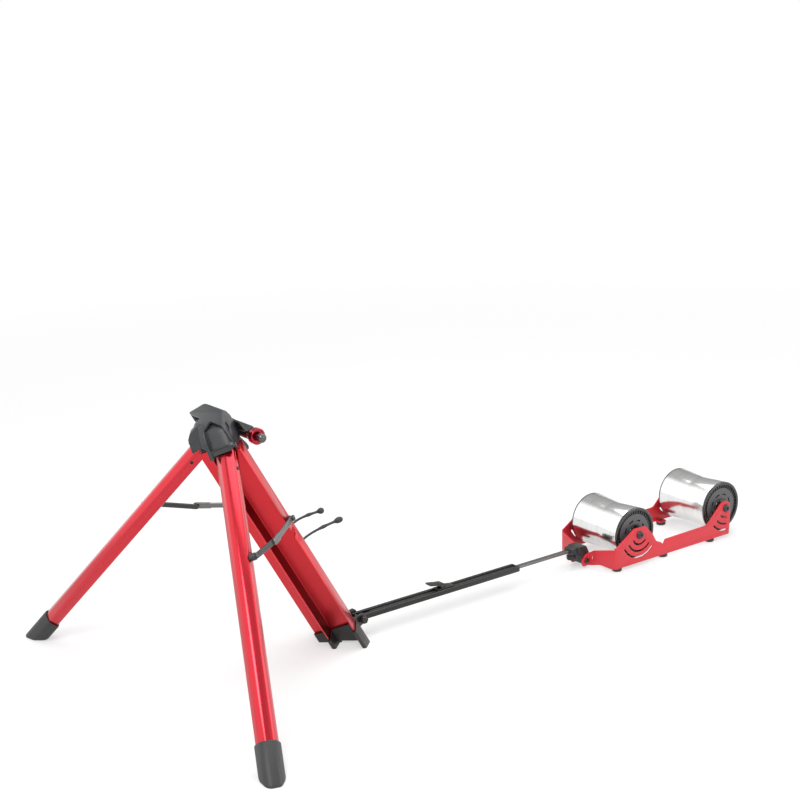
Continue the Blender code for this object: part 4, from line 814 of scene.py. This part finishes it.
world = bpy.data.worlds.new("studio")
bpy.context.scene.world = world
world.use_nodes = True
tree = world.node_tree
tree.nodes.clear()
rays = tree.nodes.new("ShaderNodeLightPath")
WORLD_LIGHT = 0.46
CEILING_AT_HORIZON = 0.34
CEILING_RISE = 0.28
SCREEN_SIDE = (0.79, -0.61, 0.0)
SCREEN_GAIN = 4.4
SCREEN_START = -1.35
DARKEST, BRIGHTEST = 0.30, 1.5
heading = tree.nodes.new("ShaderNodeTexCoord")
height = tree.nodes.new("ShaderNodeSeparateXYZ")
tree.links.new(heading.outputs["Generated"], height.inputs[0])
# Metal sees a bright ceiling, a greyer band above the horizon and two bright screens at the sides.
ceiling = maths(tree, "MULTIPLY_ADD", height.outputs["Z"], CEILING_RISE, CEILING_AT_HORIZON)
across = tree.nodes.new("ShaderNodeVectorMath")
across.operation = "DOT_PRODUCT"
across.inputs[1].default_value = SCREEN_SIDE
tree.links.new(heading.outputs["Generated"], across.inputs[0])
aside = maths(tree, "ABSOLUTE", across.outputs["Value"])
screens = maths(tree, "MULTIPLY_ADD", aside, SCREEN_GAIN, SCREEN_START)
brighter = maths(tree, "MAXIMUM", ceiling, screens)
in_metal = maths(tree, "MINIMUM", maths(tree, "MAXIMUM", brighter, DARKEST), BRIGHTEST)
plain = maths(tree, "MAXIMUM", rays.outputs["Is Camera Ray"], rays.outputs["Is Transmission Ray"])
shown = maths(tree, "MULTIPLY_ADD", plain, 1.0 - WORLD_LIGHT, WORLD_LIGHT)
extra = maths(tree, "SUBTRACT", in_metal, WORLD_LIGHT)
lift = maths(tree, "MULTIPLY", rays.outputs["Is Glossy Ray"], extra)
air = tree.nodes.new("ShaderNodeBackground")
air.inputs["Color"].default_value = (1, 1, 1, 1)
tree.links.new(maths(tree, "ADD", shown, lift), air.inputs["Strength"])
air_out = tree.nodes.new("ShaderNodeOutputWorld")
tree.links.new(air.outputs[0], air_out.inputs["Surface"])


def lamp(name, place, aim, size, power):
    """Square soft lamp that looks at a point."""
    light = bpy.data.lights.new(name, "AREA")
    light.size = size
    light.energy = power
    holder = bpy.data.objects.new(name, light)
    holder.location = place
    holder.rotation_euler = (Vector(aim) - Vector(place)).to_track_quat("-Z", "Y").to_euler()
    bpy.context.scene.collection.objects.link(holder)


lamp("key_lamp", (-2.4, -1.6, 3.0), (0.0, 0.0, 0.2), 2.0, 92.0)
lamp("top_lamp", (0.6, 0.4, 3.2), (0.0, 0.0, 0.1), 2.8, 64.0)
lamp("side_lamp", (2.2, -2.6, 1.6), (0.2, 0.0, 0.2), 1.6, 34.0)

# The lens and place of the camera are fitted to the photograph, which is square.
CAMERA_PLACE = Vector((-2.20277, -2.73837, 1.38978))
CAMERA_AIM = Vector((0.5824, 0.7673, -0.2684))
CAMERA_UP = Vector((0.18368, 0.19742, 0.96296))
CAMERA_LENS = 87.79
right = CAMERA_AIM.cross(CAMERA_UP).normalized()
up = right.cross(CAMERA_AIM).normalized()
lens = bpy.data.cameras.new("view")
lens.lens = CAMERA_LENS
lens.sensor_width = 36.0
camera = bpy.data.objects.new("view", lens)
camera.matrix_world = Matrix((
    (right.x, up.x, -CAMERA_AIM.x, CAMERA_PLACE.x),
    (right.y, up.y, -CAMERA_AIM.y, CAMERA_PLACE.y),
    (right.z, up.z, -CAMERA_AIM.z, CAMERA_PLACE.z),
    (0.0, 0.0, 0.0, 1.0),
))
bpy.context.scene.collection.objects.link(camera)
bpy.context.scene.camera = camera
bpy.context.scene.view_settings.view_transform = "Standard"
